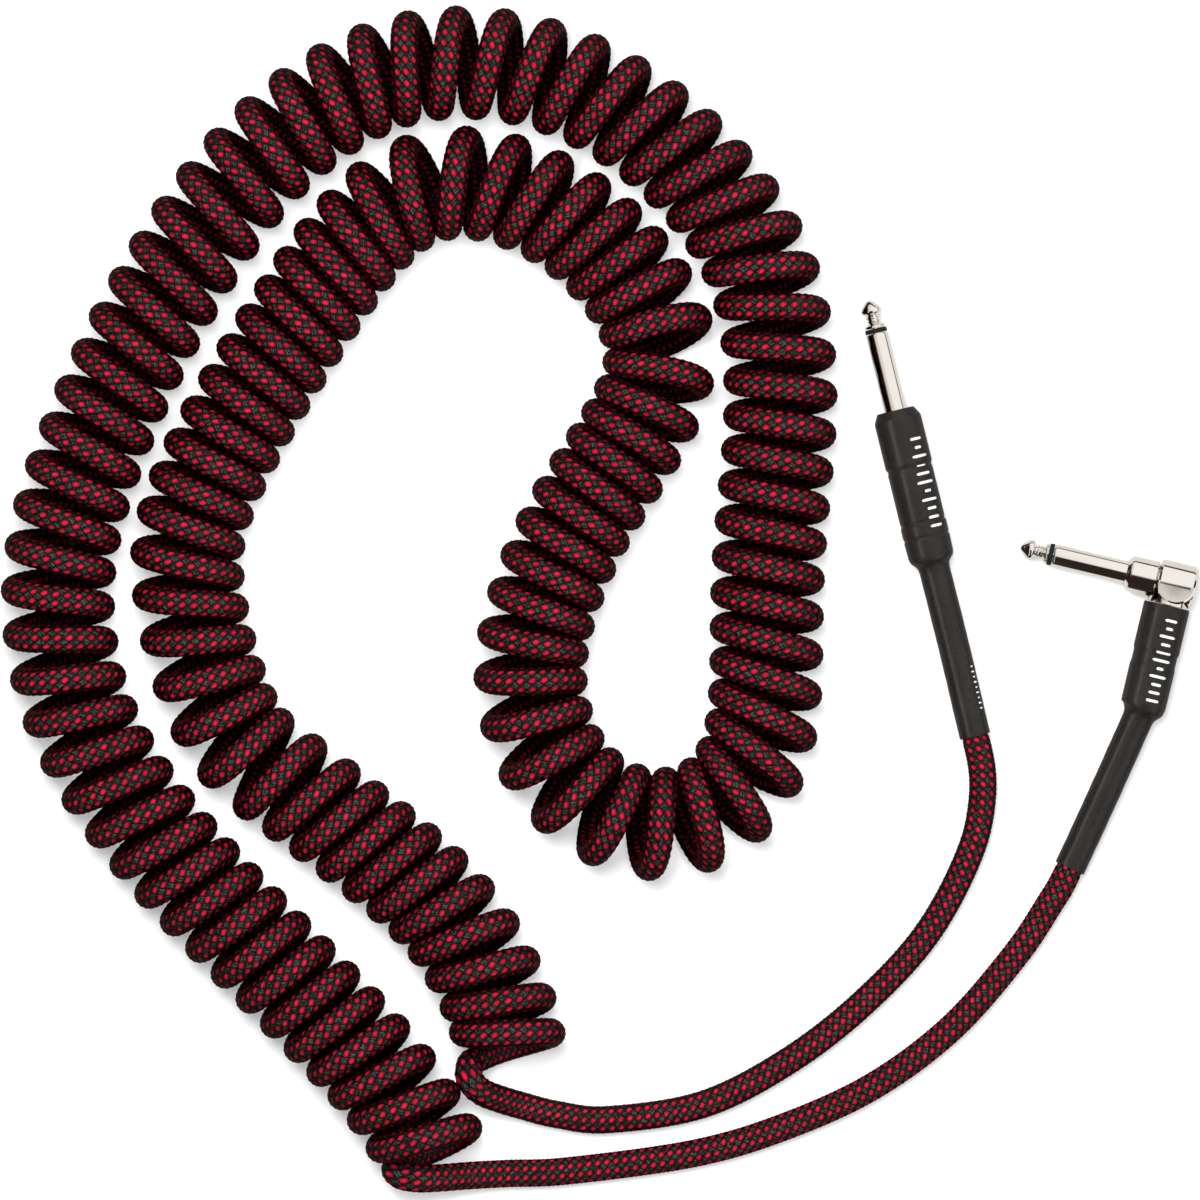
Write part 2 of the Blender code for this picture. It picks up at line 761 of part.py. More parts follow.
def build():
    clear_scene()
    route = coil_route()
    start_a = [wire_point(route, COIL_START + back)[0] for back in (0.2, 0.0)]
    start_b = [wire_point(route, COIL_END - back)[0] for back in (0.2, 0.0)]
    lead_a = lead_points(start_a, LEAD_A)
    lead_b = lead_points(start_b, LEAD_B)
    along_a = distances(lead_a)
    along_b = distances(lead_b)
    boot_a = along_a[-1] - BOOT_LENGTH + BOOT_NECK
    boot_b = along_b[-1] - ANGLE_BOOT_LENGTH + BOOT_NECK

    # Bodies, each at a point on the axis of the joint that moves it.
    coil = make_body("coil_body", (0, 0, 0))
    coil_a_end = make_body("coil_a_end_body", lead_a[0], coil)
    hinge = bend_axis_point(lead_a, along_a, LEAD_A_HINGE, UP)
    lead_a_body = make_body("lead_a_body", hinge, coil_a_end)
    hinge = bend_axis_point(lead_a, along_a, PLUG_A_HINGE, UP)
    plug_a_body = make_body("straight_plug_body", hinge, lead_a_body)
    tail_tip, tail_out = wire_point(route, TAIL_B_CUT)
    coil_b_tail = make_body("coil_b_tail_body", tail_tip + tail_out * CABLE_R, coil)
    coil_b_end = make_body("coil_b_end_body", lead_b[0], coil_b_tail)
    outside = side_of(lead_b, along_b, LEAD_B_HINGE)
    hinge = bend_axis_point(lead_b, along_b, LEAD_B_HINGE, outside)
    lead_b_body = make_body("lead_b_body", hinge, coil_b_end)
    outside = side_of(lead_b, along_b, PLUG_B_HINGE)
    hinge = bend_axis_point(lead_b, along_b, PLUG_B_HINGE, outside)
    lead_b_end = make_body("lead_b_end_body", hinge, lead_b_body)
    plug_b_body = make_body("angle_plug_body", point_at(lead_b, along_b, boot_b), lead_b_end)

    # The coil, with its two ends.
    root_a = stretch_of(lead_a, along_a, 0, LEAD_A_HINGE, ROOT_STEP)
    coil_end("coil_a_end_turns", route, END_A_CUT, COIL_START, root_a, coil_a_end)
    cuts = sections(END_A_CUT, TAIL_B_CUT, MAIN_SECTION_TURNS)
    for k, (start, end) in enumerate(zip(cuts, cuts[1:])):
        coil_section(f"coil_section_{k + 1:02d}", route, start, end, coil)
    coil_section("coil_b_tail_turns", route, TAIL_B_CUT, END_B_CUT, coil_b_tail)
    root_b = stretch_of(lead_b, along_b, 0, LEAD_B_HINGE, ROOT_STEP)
    coil_end("coil_b_end_turns", route, END_B_CUT, COIL_END, root_b, coil_b_end)

    # The leads between their hinges.
    line = stretch_of(lead_a, along_a, LEAD_A_HINGE, PLUG_A_HINGE)
    layered_cable("lead_a", line, lead_a_body)
    line = stretch_of(lead_b, along_b, LEAD_B_HINGE, PLUG_B_HINGE)
    layered_cable("lead_b", line, lead_b_body)
    line = stretch_of(lead_b, along_b, PLUG_B_HINGE, boot_b)
    rod("lead_b_tail", line, lead_b_end, BRAID, LEAD_SIDES, [CABLE_R] * (len(line) - 2))

    # The straight plug, with the last stretch of cable before it.
    bare = stretch_of(lead_a, along_a, PLUG_A_HINGE, boot_a)[:-2]
    bare.append(point_at(lead_a, along_a, boot_a - SECTION_GAP))
    tail = stretch_of(lead_a, along_a, boot_a, along_a[-1] - BOOT_NECK)
    line = bare + tail[1:-1] + [lead_a[-1], None]
    axis = -direction(STRAIGHT_HEADING)
    shoulder = Vector(STRAIGHT_SHOULDER)
    layered_cable("plug_a", line, plug_a_body, len(bare) - 1, shoulder, axis, STRAIGHT_ENDS)
    straight_plug(tail[:-1], plug_a_body)

    # The right-angle plug.
    tail = stretch_of(lead_b, along_b, boot_b, along_b[-1] - BOOT_NECK)
    line = tail[:-1] + [lead_b[-1], None]
    centre = Vector(ANGLE_SHOULDER) - direction(ANGLE_HEADING) * ELBOW_SET_BACK
    axis = direction(ANGLE_HEADING + 90.0)
    layered_cable("plug_b", line, plug_b_body, 0, centre, axis, ANGLE_ENDS)
    angle_plug(tail[:-1], plug_b_body)

    settle(coil)


build()
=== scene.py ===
"""Looks of the coiled instrument cable: woven cover, shrink boots and nickel plugs around the CAD frame.

The cable is one line from the straight plug (end A) through the coil to the right-angle plug (end B).
Places along it are distances in millimetres from the coil's A end: lead A lies at negative distances.
"""

import json
import math

import bmesh
import bpy
import numpy as np
from mathutils import Matrix, Vector

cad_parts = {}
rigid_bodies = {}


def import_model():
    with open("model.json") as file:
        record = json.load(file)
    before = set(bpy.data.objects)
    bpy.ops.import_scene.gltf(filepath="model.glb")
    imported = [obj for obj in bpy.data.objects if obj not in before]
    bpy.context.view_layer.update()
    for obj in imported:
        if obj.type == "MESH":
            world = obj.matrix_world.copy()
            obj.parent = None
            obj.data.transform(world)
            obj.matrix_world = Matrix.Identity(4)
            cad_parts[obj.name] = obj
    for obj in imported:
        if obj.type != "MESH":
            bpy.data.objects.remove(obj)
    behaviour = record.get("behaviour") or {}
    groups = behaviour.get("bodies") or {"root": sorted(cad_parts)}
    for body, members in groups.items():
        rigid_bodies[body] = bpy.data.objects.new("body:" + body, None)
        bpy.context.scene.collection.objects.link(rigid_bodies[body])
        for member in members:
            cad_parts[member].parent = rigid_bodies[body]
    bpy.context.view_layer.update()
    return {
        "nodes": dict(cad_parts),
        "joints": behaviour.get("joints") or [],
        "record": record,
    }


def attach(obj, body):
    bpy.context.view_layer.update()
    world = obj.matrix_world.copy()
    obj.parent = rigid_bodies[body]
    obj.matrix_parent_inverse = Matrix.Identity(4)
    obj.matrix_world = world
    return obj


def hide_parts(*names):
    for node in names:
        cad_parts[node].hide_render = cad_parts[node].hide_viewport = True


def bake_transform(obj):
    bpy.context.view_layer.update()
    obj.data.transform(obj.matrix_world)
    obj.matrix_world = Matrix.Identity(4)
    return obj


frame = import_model()
MM = 0.001

# ---- line of the cable (mm, in the drawing's own axes) ----
CABLE_R = 4.0
COIL_R = 12.2
COIL_Z = COIL_R + CABLE_R

# The coil's middle line as (x, y, turn number there, how far the turn leans along the line).
COIL_ROUTE = (
    (-24.8, -127.0, -1.4, 0.5),
    (-29.5, -110.5, 0.5, 1.0),
    (-45.5, -85.0, 3.4, 0.5),
    (-80.5, -56.5, 8.2, 1.0),
    (-104.0, -36.5, 10.9, -2.5),
    (-116.0, 4.0, 14.7, 1.5),
    (-111.0, 32.5, 17.6, -1.5),
    (-87.0, 75.0, 22.8, 0.5),
    (-61.0, 109.5, 27.5, 1.0),
    (-36.5, 117.5, 29.6, 0.0),
    (-7.5, 106.5, 32.5, 0.0),
    (14.5, 81.0, 36.0, -1.0),
    (14.5, 56.0, 38.0, -2.0),
    (-8.5, 18.5, 42.9, -0.5),
    (-20.0, -18.0, 46.8, -1.5),
    (-12.0, -47.5, 49.5, -2.0),
    (9.0, -62.5, 51.6, -1.0),
    (32.0, -59.0, 53.5, 0.5),
    (45.5, -37.5, 55.7, 2.5),
    (47.0, 9.5, 60.3, 0.0),
    (51.0, 60.0, 65.3, -0.5),
    (43.5, 98.0, 68.7, 1.5),
    (17.0, 130.0, 72.6, 0.5),
    (-17.5, 148.5, 76.1, -0.5),
    (-55.5, 149.5, 79.3, 0.5),
    (-89.5, 130.0, 82.9, -0.5),
    (-117.0, 95.5, 86.7, 1.0),
    (-140.5, 49.5, 91.5, 0.0),
    (-152.5, 7.5, 95.6, -0.5),
    (-146.5, -32.5, 99.2, 0.0),
    (-123.0, -69.0, 103.2, 0.5),
    (-84.5, -109.0, 108.8, -0.5),
    (-61.5, -133.5, 112.25, 0.5),
    (-49.5, -151.0, 114.25, 1.5),
    (-46.5, -156.5, 115.0, 2.0),
)
COIL_START = -1.4
COIL_END = 114.9

# Middle of the cable in each lead, from the coil to the plug's axis.
LEAD_A = (
    (-36.8, -131.6, 13.2),
    (-36.4, -135.0, 15.4),
    (-33.4, -138.2, 13.4),
    (-28.4, -140.4, 9.0),
    (-22.5, -142.3, 5.2),
    (-12.0, -145.0, 4.1),
    (2.5, -146.4, 4.0),
    (29.1, -142.1, 4.0),
    (53.2, -129.8, 4.0),
    (74.5, -113.2, 4.0),
    (92.7, -93.2, 4.0),
    (105.0, -69.2, 4.0),
    (108.2, -50.0, 4.2),
    (106.1, -40.3, 4.4),
    (99.9, -14.0, 5.5),
    (93.3, 12.2, 6.7),
)
LEAD_B = (
    (-56.6, -161.4, 14.6),
    (-51.5, -162.6, 15.2),
    (-44.5, -162.5, 11.6),
    (-37.0, -162.1, 7.0),
    (-26.5, -161.6, 4.4),
    (-8.5, -160.8, 4.0),
    (27.2, -155.8, 4.0),
    (53.1, -148.0, 4.0),
    (77.6, -136.6, 4.0),
    (99.2, -120.4, 4.0),
    (117.0, -100.1, 4.0),
    (127.0, -85.1, 4.2),
    (131.5, -77.2, 4.4),
    (142.0, -54.5, 5.4),
    (152.8, -30.3, 6.7),
)

# Where each plug's shoulder is, and the compass direction (degrees from x) its shaft points.
PLUG_AXIS_Z = 6.7
STRAIGHT_SHOULDER = (83.1, 53.8, PLUG_AXIS_Z)
STRAIGHT_HEADING = 103.7
ANGLE_SHOULDER = (149.0, 7.6, PLUG_AXIS_Z)
ANGLE_HEADING = 166.6
ELBOW_SET_BACK = 12.5

# Distances (mm) along each lead from the coil: hinges of the frame, and a length past each hinge.
LEAD_A_HINGE = 26.0
PLUG_A_HINGE = 175.0
LEAD_B_HINGE = 38.0
PLUG_B_HINGE = 180.0
BEND_LENGTH = 45.0
BOOT_NECK = 1.7
STRAIGHT_BOOT = 54.0
ANGLE_BOOT = 51.5
STRAIGHT_BARREL_END = 42.8
ANGLE_BARREL_END = 36.0

# Turn numbers near both ends of the coil where the woven cover is cut into pieces. The turns between are six
# pieces.
A_STRETCH = (9.0, -0.5)
B_TAIL = (98.5, 106.0)
COIL_PIECES = 6

# How finely the route, the leads and the turns are followed before the line is cut into rows, and how many
# neighbours each way smooth the route.
ROUTE_FINE = 40
LEAD_FINE = 60
TURN_FINE = 160
ROUTE_SMOOTHING = 10

# The bend of lead A just past its boot is rounded off: how far past the boot (mm), over how many rows each
# way, and how far from there (mm) the rounding fades.
EASE_AFTER = 6.7
EASE_ROWS = 20
EASE_REACH = 14.0

# ---- woven cover (mm): tiles round the cable, rows along it, heights of a tile's corners above the radius.
# Inside the boots it is squeezed to a share of its radius, partly so at the boot's mouth and fully a little
# further in. ----
CARRIERS = 18
ROW_STEP = 0.645
HALF_STEP = math.pi / CARRIERS
COVER_R = 3.86
TILE_HEIGHTS = (-0.20, -0.04, 0.15)
SQUEEZED = 0.93
SQUEEZE_AT_MOUTH = 0.8
SQUEEZE_LENGTH = 2.0
PLIES_RED = 4
PLIES_DARK = 3

# Heights (mm) in the coil between which its cover goes from deep shade to open light, and how far from the
# coil's ends (mm) that shade begins and is full.
DEEP = 7.0
OPEN = 24.0
DEEP_SHADE = 0.10
SHADE_FROM = 35.0
SHADE_FULL = 105.0

# ---- inner layers of the leads: outer and inner radius, how far behind each plug's shoulder they end ----
LAYER_SIDES = 12
LAYER_STEP = 3.0
LAYERS = {
    "inner_jacket": (3.2, 2.5, 25.0, 19.0),
    "shield": (2.2, 1.9, 23.5, 17.5),
    "core_insulation": (1.6, 0.8, 18.5, 12.5),
    "conductor": (0.5, 0.0, 13.5, 7.5),
}
BRAID_ENDS = (32.0, 26.0)

# ---- shrink boots: outlines as (distance behind the plug's shoulder, radius) in mm ----
STRAIGHT_OUTLINE = (
    (0.1, 5.15),
    (0.5, 5.35),
    (2.9, 6.65),
    (3.8, 6.7),
    (16.4, 6.7),
    (16.9, 6.22),
    (17.3, 6.22),
    (17.9, 6.45),
    (32.3, 6.45),
    (32.8, 6.15),
    (33.4, 6.6),
    (36.6, 6.6),
    (37.1, 6.22),
    (37.6, 6.6),
    (42.4, 6.45),
    (43.5, 6.15),
    (44.5, 5.2),
    (45.3, 4.6),
    (46.6, 4.4),
)
ANGLE_OUTLINE = (
    (6.4, 6.45),
    (7.0, 6.6),
    (19.4, 6.6),
    (20.2, 6.3),
    (23.4, 6.3),
    (24.2, 6.5),
    (35.0, 6.45),
    (36.2, 6.15),
    (37.3, 5.2),
    (38.3, 4.6),
    (39.6, 4.4),
)
BOOT_WALL = 0.35
BOOT_BORE = 4.05
BOOT_STEP = 0.25
LIP_BORE = 3.25
STRAIGHT_LIP = 0.5
BOOT_SIDES = 48

# The sleeve over the cable is a little uneven, and its mouth turns in.
RIPPLE = 0.03
RIPPLE_FADE = 3.0
MOUTH_TURN_IN = 0.06

# ---- white ink on the boots: marks as (start, end, turn from the top in degrees), sizes in mm ----
INK_LIFT = 0.06
INK_DEPTH = 0.1
STRAIGHT_MARK = (9.5, 34.5, 32.0)
ANGLE_MARK = (10.5, 33.5, 18.0)
MARK_BARS = 11
TICK_MARK = (75.5, 87.5, 52.0)
MARK_WIDTH = 0.75
MARK_SHORTEST = 1.3
MARK_SWELL = 4.4
TICKS = 9
TICK_WIDTH = 0.45
TICK_LENGTHS = (0.8, 1.2)
BAR_SECTIONS = 8
BAR_TAPER = 0.55

# ---- plugs: outlines as (distance ahead of the shoulder, radius) in mm ----
TIP_OUTLINE = (
    (31.5, 0.0),
    (31.45, 0.40),
    (31.3, 0.75),
    (31.0, 1.15),
    (29.3, 2.62),
    (28.9, 2.84),
    (28.5, 2.92),
    (28.1, 2.90),
    (27.8, 2.75),
    (27.2, 1.75),
    (26.9, 1.55),
    (26.65, 1.55),
    (26.55, 1.85),
    (26.35, 1.95),
    (26.15, 1.85),
    (26.05, 1.55),
    (25.75, 1.55),
    (25.65, 1.80),
    (25.45, 1.88),
    (25.25, 1.80),
    (25.1, 1.60),
    (24.8, 1.85),
    (24.2, 2.75),
    (24.0, 2.90),
    (23.55, 2.92),
    (23.5, 2.85),
    (23.5, 1.1),
)
RING_OUTLINE = ((23.3, 2.95), (23.15, 3.08), (22.25, 3.14), (22.05, 3.05), (22.05, 1.4), (23.3, 1.4))
ROD_R = 1.1
STRAIGHT_ROD_END = -10.0
ANGLE_ROD_END = -14.0
SLEEVE_FRONT = ((21.85, 2.2), (21.85, 2.95), (21.6, 3.13), (21.3, 3.175))
STRAIGHT_ROOT = ((-0.7, 3.175), (-0.7, 4.2), (-8.0, 4.2), (-8.0, 2.2))
ANGLE_ROOT = ((-10.5, 3.175), (-10.5, 2.2))

# The elbow is a drum on the shaft's axis, a round boss over the bend and a stub towards the barrel, with
# room cut for the collar, the sleeve and the wire. Its faces whose normals rise this high are scuffed.
FLAT_ON_TOP = 0.99995
COLLAR_OUTLINE = (
    (0.9, 3.35),
    (0.75, 3.9),
    (0.1, 4.6),
    (-0.3, 4.95),
    (-0.7, 5.1),
    (-7.5, 5.1),
    (-7.9, 4.9),
    (-8.05, 4.6),
    (-8.05, 3.35),
)
DRUM_OUTLINE = (
    (-8.35, 0.0),
    (-8.35, 5.3),
    (-8.5, 5.9),
    (-8.9, 6.15),
    (-17.6, 6.15),
    (-18.3, 5.98),
    (-18.85, 5.5),
    (-19.15, 4.8),
    (-19.25, 4.0),
    (-19.25, 0.0),
)
BARREL_TURN = Matrix.Translation((-ELBOW_SET_BACK * MM, 0, 0)) @ Matrix.Rotation(math.pi / 2, 4, "Z")
BOSS_CENTRE = -13.55
BOSS_OUTLINE = ((6.1, 0.0), (6.1, 5.1), (5.9, 5.45), (5.3, 5.7), (-5.3, 5.7), (-6.1, 4.95), (-6.1, 0.0))
STUB_OUTLINE = ((1.0, 0.0), (1.0, 5.75), (6.2, 5.75), (6.2, 0.0))
COLLAR_ROOM = ((0.0, 0.0), (0.0, 5.3), (-8.2, 5.3), (-8.2, 0.0))
WIRE_BORE = ((-4.0, 0.0), (-4.0, 4.6), (7.0, 4.6), (7.0, 0.0))
SLEEVE_BORE = ((-7.0, 0.0), (-7.0, 3.5), (-12.5, 3.5), (-12.5, 0.0))

# Cuts where the collar meets the elbow, as (along, across towards the barrel, height) corners: a narrow
# groove between the two, and a slanted face beside it on the elbow.
GROOVE = (
    (-8.3, 0.6, 6.6),
    (-6.6, 6.8, 6.6),
    (-10.0, 6.8, 6.6),
    (-8.3, 1.0, 5.2),
    (-8.2, 6.8, -2.0),
    (-9.7, 6.8, -2.0),
)
SLANT = (
    (-8.3, 0.4, 6.05),
    (-13.1, 6.8, 6.05),
    (-6.3, 6.8, 4.6),
    (-8.3, 0.4, 7.5),
    (-13.1, 6.8, 7.5),
    (-6.3, 6.8, 7.5),
)
BARREL_HALF = [(x, y, z) for x in (-30, 0) for y in (-0.05, 10) for z in (-10, 10)]

# ---- studio (metres, watts); each light as (name, size, power, place) ----
FLOOR_HALF = 6.0
FLOOR_DROP = 0.0002
FLOOR_GREY = 0.62
FLOOR_GLOW = 0.35
FLOOR_BOUNCE = 0.05
LIGHTS = (
    ("key", 0.6, 40.0, (-0.15, 0.30, 1.6)),
    ("fill", 1.0, 12.0, (0.45, -0.35, 1.6)),
)
BOOT_LIGHT_AIM = (0.11, 0.02, 0.0)
BOOT_LIGHT_WAY = (-0.70, 0.0, 0.714)
BOOT_LIGHT_FAR = 1.6
BOOT_LIGHT_SIZE = (1.5, 0.22)
BOOT_LIGHT_POWER = 8.0

# How bright the surroundings are for surfaces that don't mirror them.
SOFT_LEVEL = 0.05
SENSOR = 36.0
CAMERA_HEIGHT = 4.0
PICTURE_WIDTH = 0.3385


# ---- the line ----
def through(rows, where):
    """Points on the smooth line through rows; where counts rows and may lie between two."""
    rows = np.array(rows, float)
    last = len(rows) - 1
    padded = np.vstack([2 * rows[0] - rows[1], rows, 2 * rows[-1] - rows[-2]])
    first = np.clip(where.astype(int), 0, last - 1)
    t = (where - first)[:, None]
    a, b, c, d = (padded[first + k] for k in range(4))
    return 0.5 * (
        2 * b + (c - a) * t + (2 * a - 5 * b + 4 * c - d) * t**2 + (3 * b - a - 3 * c + d) * t**3
    )


def relaxed(rows, reach):
    """Each row replaced by the mean of its neighbours within reach."""
    smooth = rows.copy()
    for k in range(len(rows)):
        near = min(reach, k, len(rows) - 1 - k)
        smooth[k] = rows[k - near : k + near + 1].mean(0)
    return smooth


def make_route():
    count = (len(COIL_ROUTE) - 1) * ROUTE_FINE
    rows = through(COIL_ROUTE, np.arange(count + 1) / ROUTE_FINE)
    return relaxed(relaxed(rows, ROUTE_SMOOTHING), ROUTE_SMOOTHING)


ROUTE = make_route()
ROUTE_AHEAD = np.gradient(ROUTE[:, :2], axis=0)
ROUTE_AHEAD /= np.linalg.norm(ROUTE_AHEAD, axis=1)[:, None]


def route_at(turns, columns=ROUTE):
    return np.stack([np.interp(turns, ROUTE[:, 2], column) for column in columns.T], axis=-1)


def coil_points(turns):
    """Centres of the cable at the given turn numbers."""
    middle = route_at(turns)
    ahead = route_at(turns, ROUTE_AHEAD)
    ahead /= np.linalg.norm(ahead, axis=1)[:, None]
    left = np.stack([-ahead[:, 1], ahead[:, 0]], axis=1)
    angle = np.pi * (1 - 2 * turns)
    plan = middle[:, :2] + left * COIL_R * np.cos(angle)[:, None]
    plan += ahead * (middle[:, 3] * np.cos(angle))[:, None]
    return np.column_stack([plan, COIL_Z + COIL_R * np.sin(angle)])


def lead_points(near_end, rows):
    controls = np.vstack([near_end, rows])
    count = (len(controls) - 2) * LEAD_FINE
    return through(controls, 1 + np.arange(count + 1) / LEAD_FINE)


def direction(heading):
    return np.array([math.cos(math.radians(heading)), math.sin(math.radians(heading)), 0.0])


def lengths(points):
    steps = np.linalg.norm(np.diff(points, axis=0), axis=1)
    return np.concatenate([[0.0], np.cumsum(steps)])


ELBOW_CENTRE = np.array(ANGLE_SHOULDER) - direction(ANGLE_HEADING) * ELBOW_SET_BACK
PLUG_AXES = (
    (np.array(STRAIGHT_SHOULDER), -direction(STRAIGHT_HEADING)),
    (ELBOW_CENTRE, direction(ANGLE_HEADING + 90.0)),
)


def eased(line, places, centre):
    """The line with its bend at one place rounded off."""
    window = np.hanning(2 * EASE_ROWS + 1)
    soft = np.stack([np.convolve(column, window / window.sum(), mode="same") for column in line.T], axis=1)
    share = np.clip(1.5 - np.abs(places - centre) / EASE_REACH, 0, 1)[:, None]
    return line + (soft - line) * share


def make_line():
    """Evenly spaced centres from plug to plug, the row number of the first, and the lengths of both leads
    and of the coil."""
    turns = np.arange(COIL_START, COIL_END, 1 / TURN_FINE)
    turns = np.append(turns, COIL_END)
    coil = coil_points(turns)
    start_a = coil_points(np.array([COIL_START + 0.2, COIL_START]))
    start_b = coil_points(np.array([COIL_END - 0.2, COIL_END]))
    lead_a = lead_points(start_a, LEAD_A)
    lead_b = lead_points(start_b, LEAD_B)
    length_a = lengths(lead_a)[-1]
    length_b = lengths(lead_b)[-1]
    length_coil = lengths(coil)[-1]
    points = np.vstack([PLUG_AXES[0][0], lead_a[:0:-1], coil, lead_b[1:], PLUG_AXES[1][0]])
    along = lengths(points) - STRAIGHT_BARREL_END - length_a
    first = math.ceil(along[0] / ROW_STEP)
    last = math.floor(along[-1] / ROW_STEP)
    places = np.arange(first, last + 1) * ROW_STEP
    line = np.stack([np.interp(places, along, column) for column in points.T], axis=1)
    line = eased(line, places, EASE_AFTER + STRAIGHT_BOOT - BOOT_NECK - length_a)
    turn_places = lengths(coil)
    return line, first, length_a, length_b, length_coil, (turns, turn_places)


LINE, FIRST_ROW, LENGTH_A, LENGTH_B, LENGTH_COIL, TURN_TABLE = make_line()


def make_frames():
    """For each row two unit vectors square to the line, carried along without twisting."""
    ahead = np.gradient(LINE, axis=0)
    ahead /= np.linalg.norm(ahead, axis=1)[:, None]
    across = np.zeros_like(LINE)
    current = np.array([0.0, 0.0, 1.0])
    for k, forward in enumerate(ahead):
        current = current - forward * (current @ forward)
        current = current / math.sqrt(current @ current)
        across[k] = current
    return across, np.cross(ahead, across)


ACROSS, UPWARD = make_frames()


def drawing_origin():
    """Where the drawing's origin lies in the frame, in mm: the right-angle plug's twist joint is at the
    end of its boot in both."""
    joints = {joint["name"]: joint for joint in frame["joints"]}
    boot_end = LENGTH_COIL + LENGTH_B - ANGLE_BOOT + BOOT_NECK
    rows = np.arange(len(LINE))
    row = boot_end / ROW_STEP - FIRST_ROW
    on_line = np.array([np.interp(row, rows, column) for column in LINE.T])
    return np.array(joints["angle_plug_twist"]["pos_m"]) / MM - on_line


SHIFT_MM = drawing_origin()


def to_frame(points):
    return (np.asarray(points) + SHIFT_MM) * MM


def turn_place(turn):
    """Distance along the cable of a turn number."""
    return float(np.interp(turn, *TURN_TABLE))


def at_a(distance):
    return -distance


def at_b(distance):
    return LENGTH_COIL + distance


def plug_a_place(behind):
    """Distance along the cable of a point so far behind the straight plug's shoulder."""
    return -(LENGTH_A + STRAIGHT_BARREL_END - behind)


def plug_b_place(behind):
    return LENGTH_COIL + LENGTH_B + ANGLE_BARREL_END - behind


def sample(place):
    """Centre and the two cross vectors at a distance along the cable."""
    where = np.clip(place / ROW_STEP - FIRST_ROW, 0, len(LINE) - 1)
    rows = np.arange(len(LINE))
    out = []
    for table in (LINE, ACROSS, UPWARD):
        out.append(np.array([np.interp(where, rows, column) for column in table.T]))
    return out


def row_of(place):
    return int(np.clip(round(place / ROW_STEP), FIRST_ROW, FIRST_ROW + len(LINE) - 1))


# ---- meshes ----
def add_mesh(name, vertices, faces, material, uvs=()):
    """An object from arrays: vertices in metres, faces as rows of 4 indices (the last -1 in a triangle)."""
    mesh = bpy.data.meshes.new(name)
    mesh.vertices.add(len(vertices))
    mesh.vertices.foreach_set("co", vertices.astype(np.float32).ravel())
    used = faces >= 0
    counts = used.sum(1)
    mesh.loops.add(int(counts.sum()))
    mesh.loops.foreach_set("vertex_index", faces[used].astype(np.int32))
    mesh.polygons.add(len(faces))
    starts = np.concatenate([[0], np.cumsum(counts)[:-1]])
    mesh.polygons.foreach_set("loop_start", starts.astype(np.int32))
    mesh.polygons.foreach_set("use_smooth", np.full(len(faces), True))
    mesh.update(calc_edges=True)
    for uv_name, corners in uvs:
        layer = mesh.uv_layers.new(name=uv_name)
        layer.data.foreach_set("uv", corners[used].astype(np.float32).ravel())
    mesh.materials.append(material)
    made = bpy.data.objects.new(name, mesh)
    bpy.context.scene.collection.objects.link(made)
    return made


def braid_rows(start, end):
    """Vertices and diamond faces of the woven cover from one row to another, with the strand coordinates
    of each corner."""
    rows = np.arange(start, end + 1)
    j = np.arange(CARRIERS)
    across_steps = (rows % 2)[:, None] + 2 * j[None, :]
    p = (rows[:, None] - across_steps) // 2
    q = (rows[:, None] + across_steps) // 2
    heights = np.array(TILE_HEIGHTS)[(p % 2) + (q % 2)]
    radius = COVER_R + heights
    radius *= squeeze(rows)[:, None]
    angle = across_steps * HALF_STEP
    index = rows - FIRST_ROW
    centre, across, up = LINE[index], ACROSS[index], UPWARD[index]
    points = (
        centre[:, None]
        + (radius * np.cos(angle))[..., None] * across[:, None]
        + (radius * np.sin(angle))[..., None] * up[:, None]
    )
    base = rows[:-2]
    shift = base % 2
    row_index = (base - start)[:, None]
    right = (j[None, :] + shift[:, None]) % CARRIERS
    left = (j[None, :] + shift[:, None] - 1) % CARRIERS
    quads = np.stack(
        [
            row_index * CARRIERS + j[None, :],
            (row_index + 1) * CARRIERS + right,
            (row_index + 2) * CARRIERS + j[None, :],
            (row_index + 1) * CARRIERS + left,
        ],
        axis=-1,
    ).reshape(-1, 4)
    steps = across_steps[:-2, :, None] + np.array([0, 1, 0, -1])
    levels = base[:, None, None] + np.array([0, 1, 2, 1])
    levels = np.broadcast_to(levels, steps.shape)
    steps, levels = steps.reshape(-1, 4), levels.reshape(-1, 4)
    ends, end_steps, end_levels = braid_ends(start, end)
    faces = np.vstack([quads, ends])
    steps = np.vstack([steps, end_steps])
    levels = np.vstack([levels, end_levels])
    return points.reshape(-1, 3), faces, steps, levels


def braid_ends(start, end):
    """Triangles that fill the notches at both ends of a stretch of cover."""
    faces, steps, levels = [], [], []
    for edge, inner in ((start, start + 1), (end, end - 1)):
        for j in range(CARRIERS):
            low = edge % 2 + 2 * j
            middle = (j + edge % 2) % CARRIERS
            a = (edge - start) * CARRIERS + j
            b = (edge - start) * CARRIERS + (j + 1) % CARRIERS
            c = (inner - start) * CARRIERS + middle
            row = [(a, low, edge), (b, low + 2, edge), (c, low + 1, inner)]
            if edge == end:
                row = [row[1], row[0], row[2]]
            faces.append([corner[0] for corner in row] + [-1])
            steps.append([corner[1] for corner in row] + [0])
            levels.append([corner[2] for corner in row] + [0])
    return np.array(faces), np.array(steps), np.array(levels)


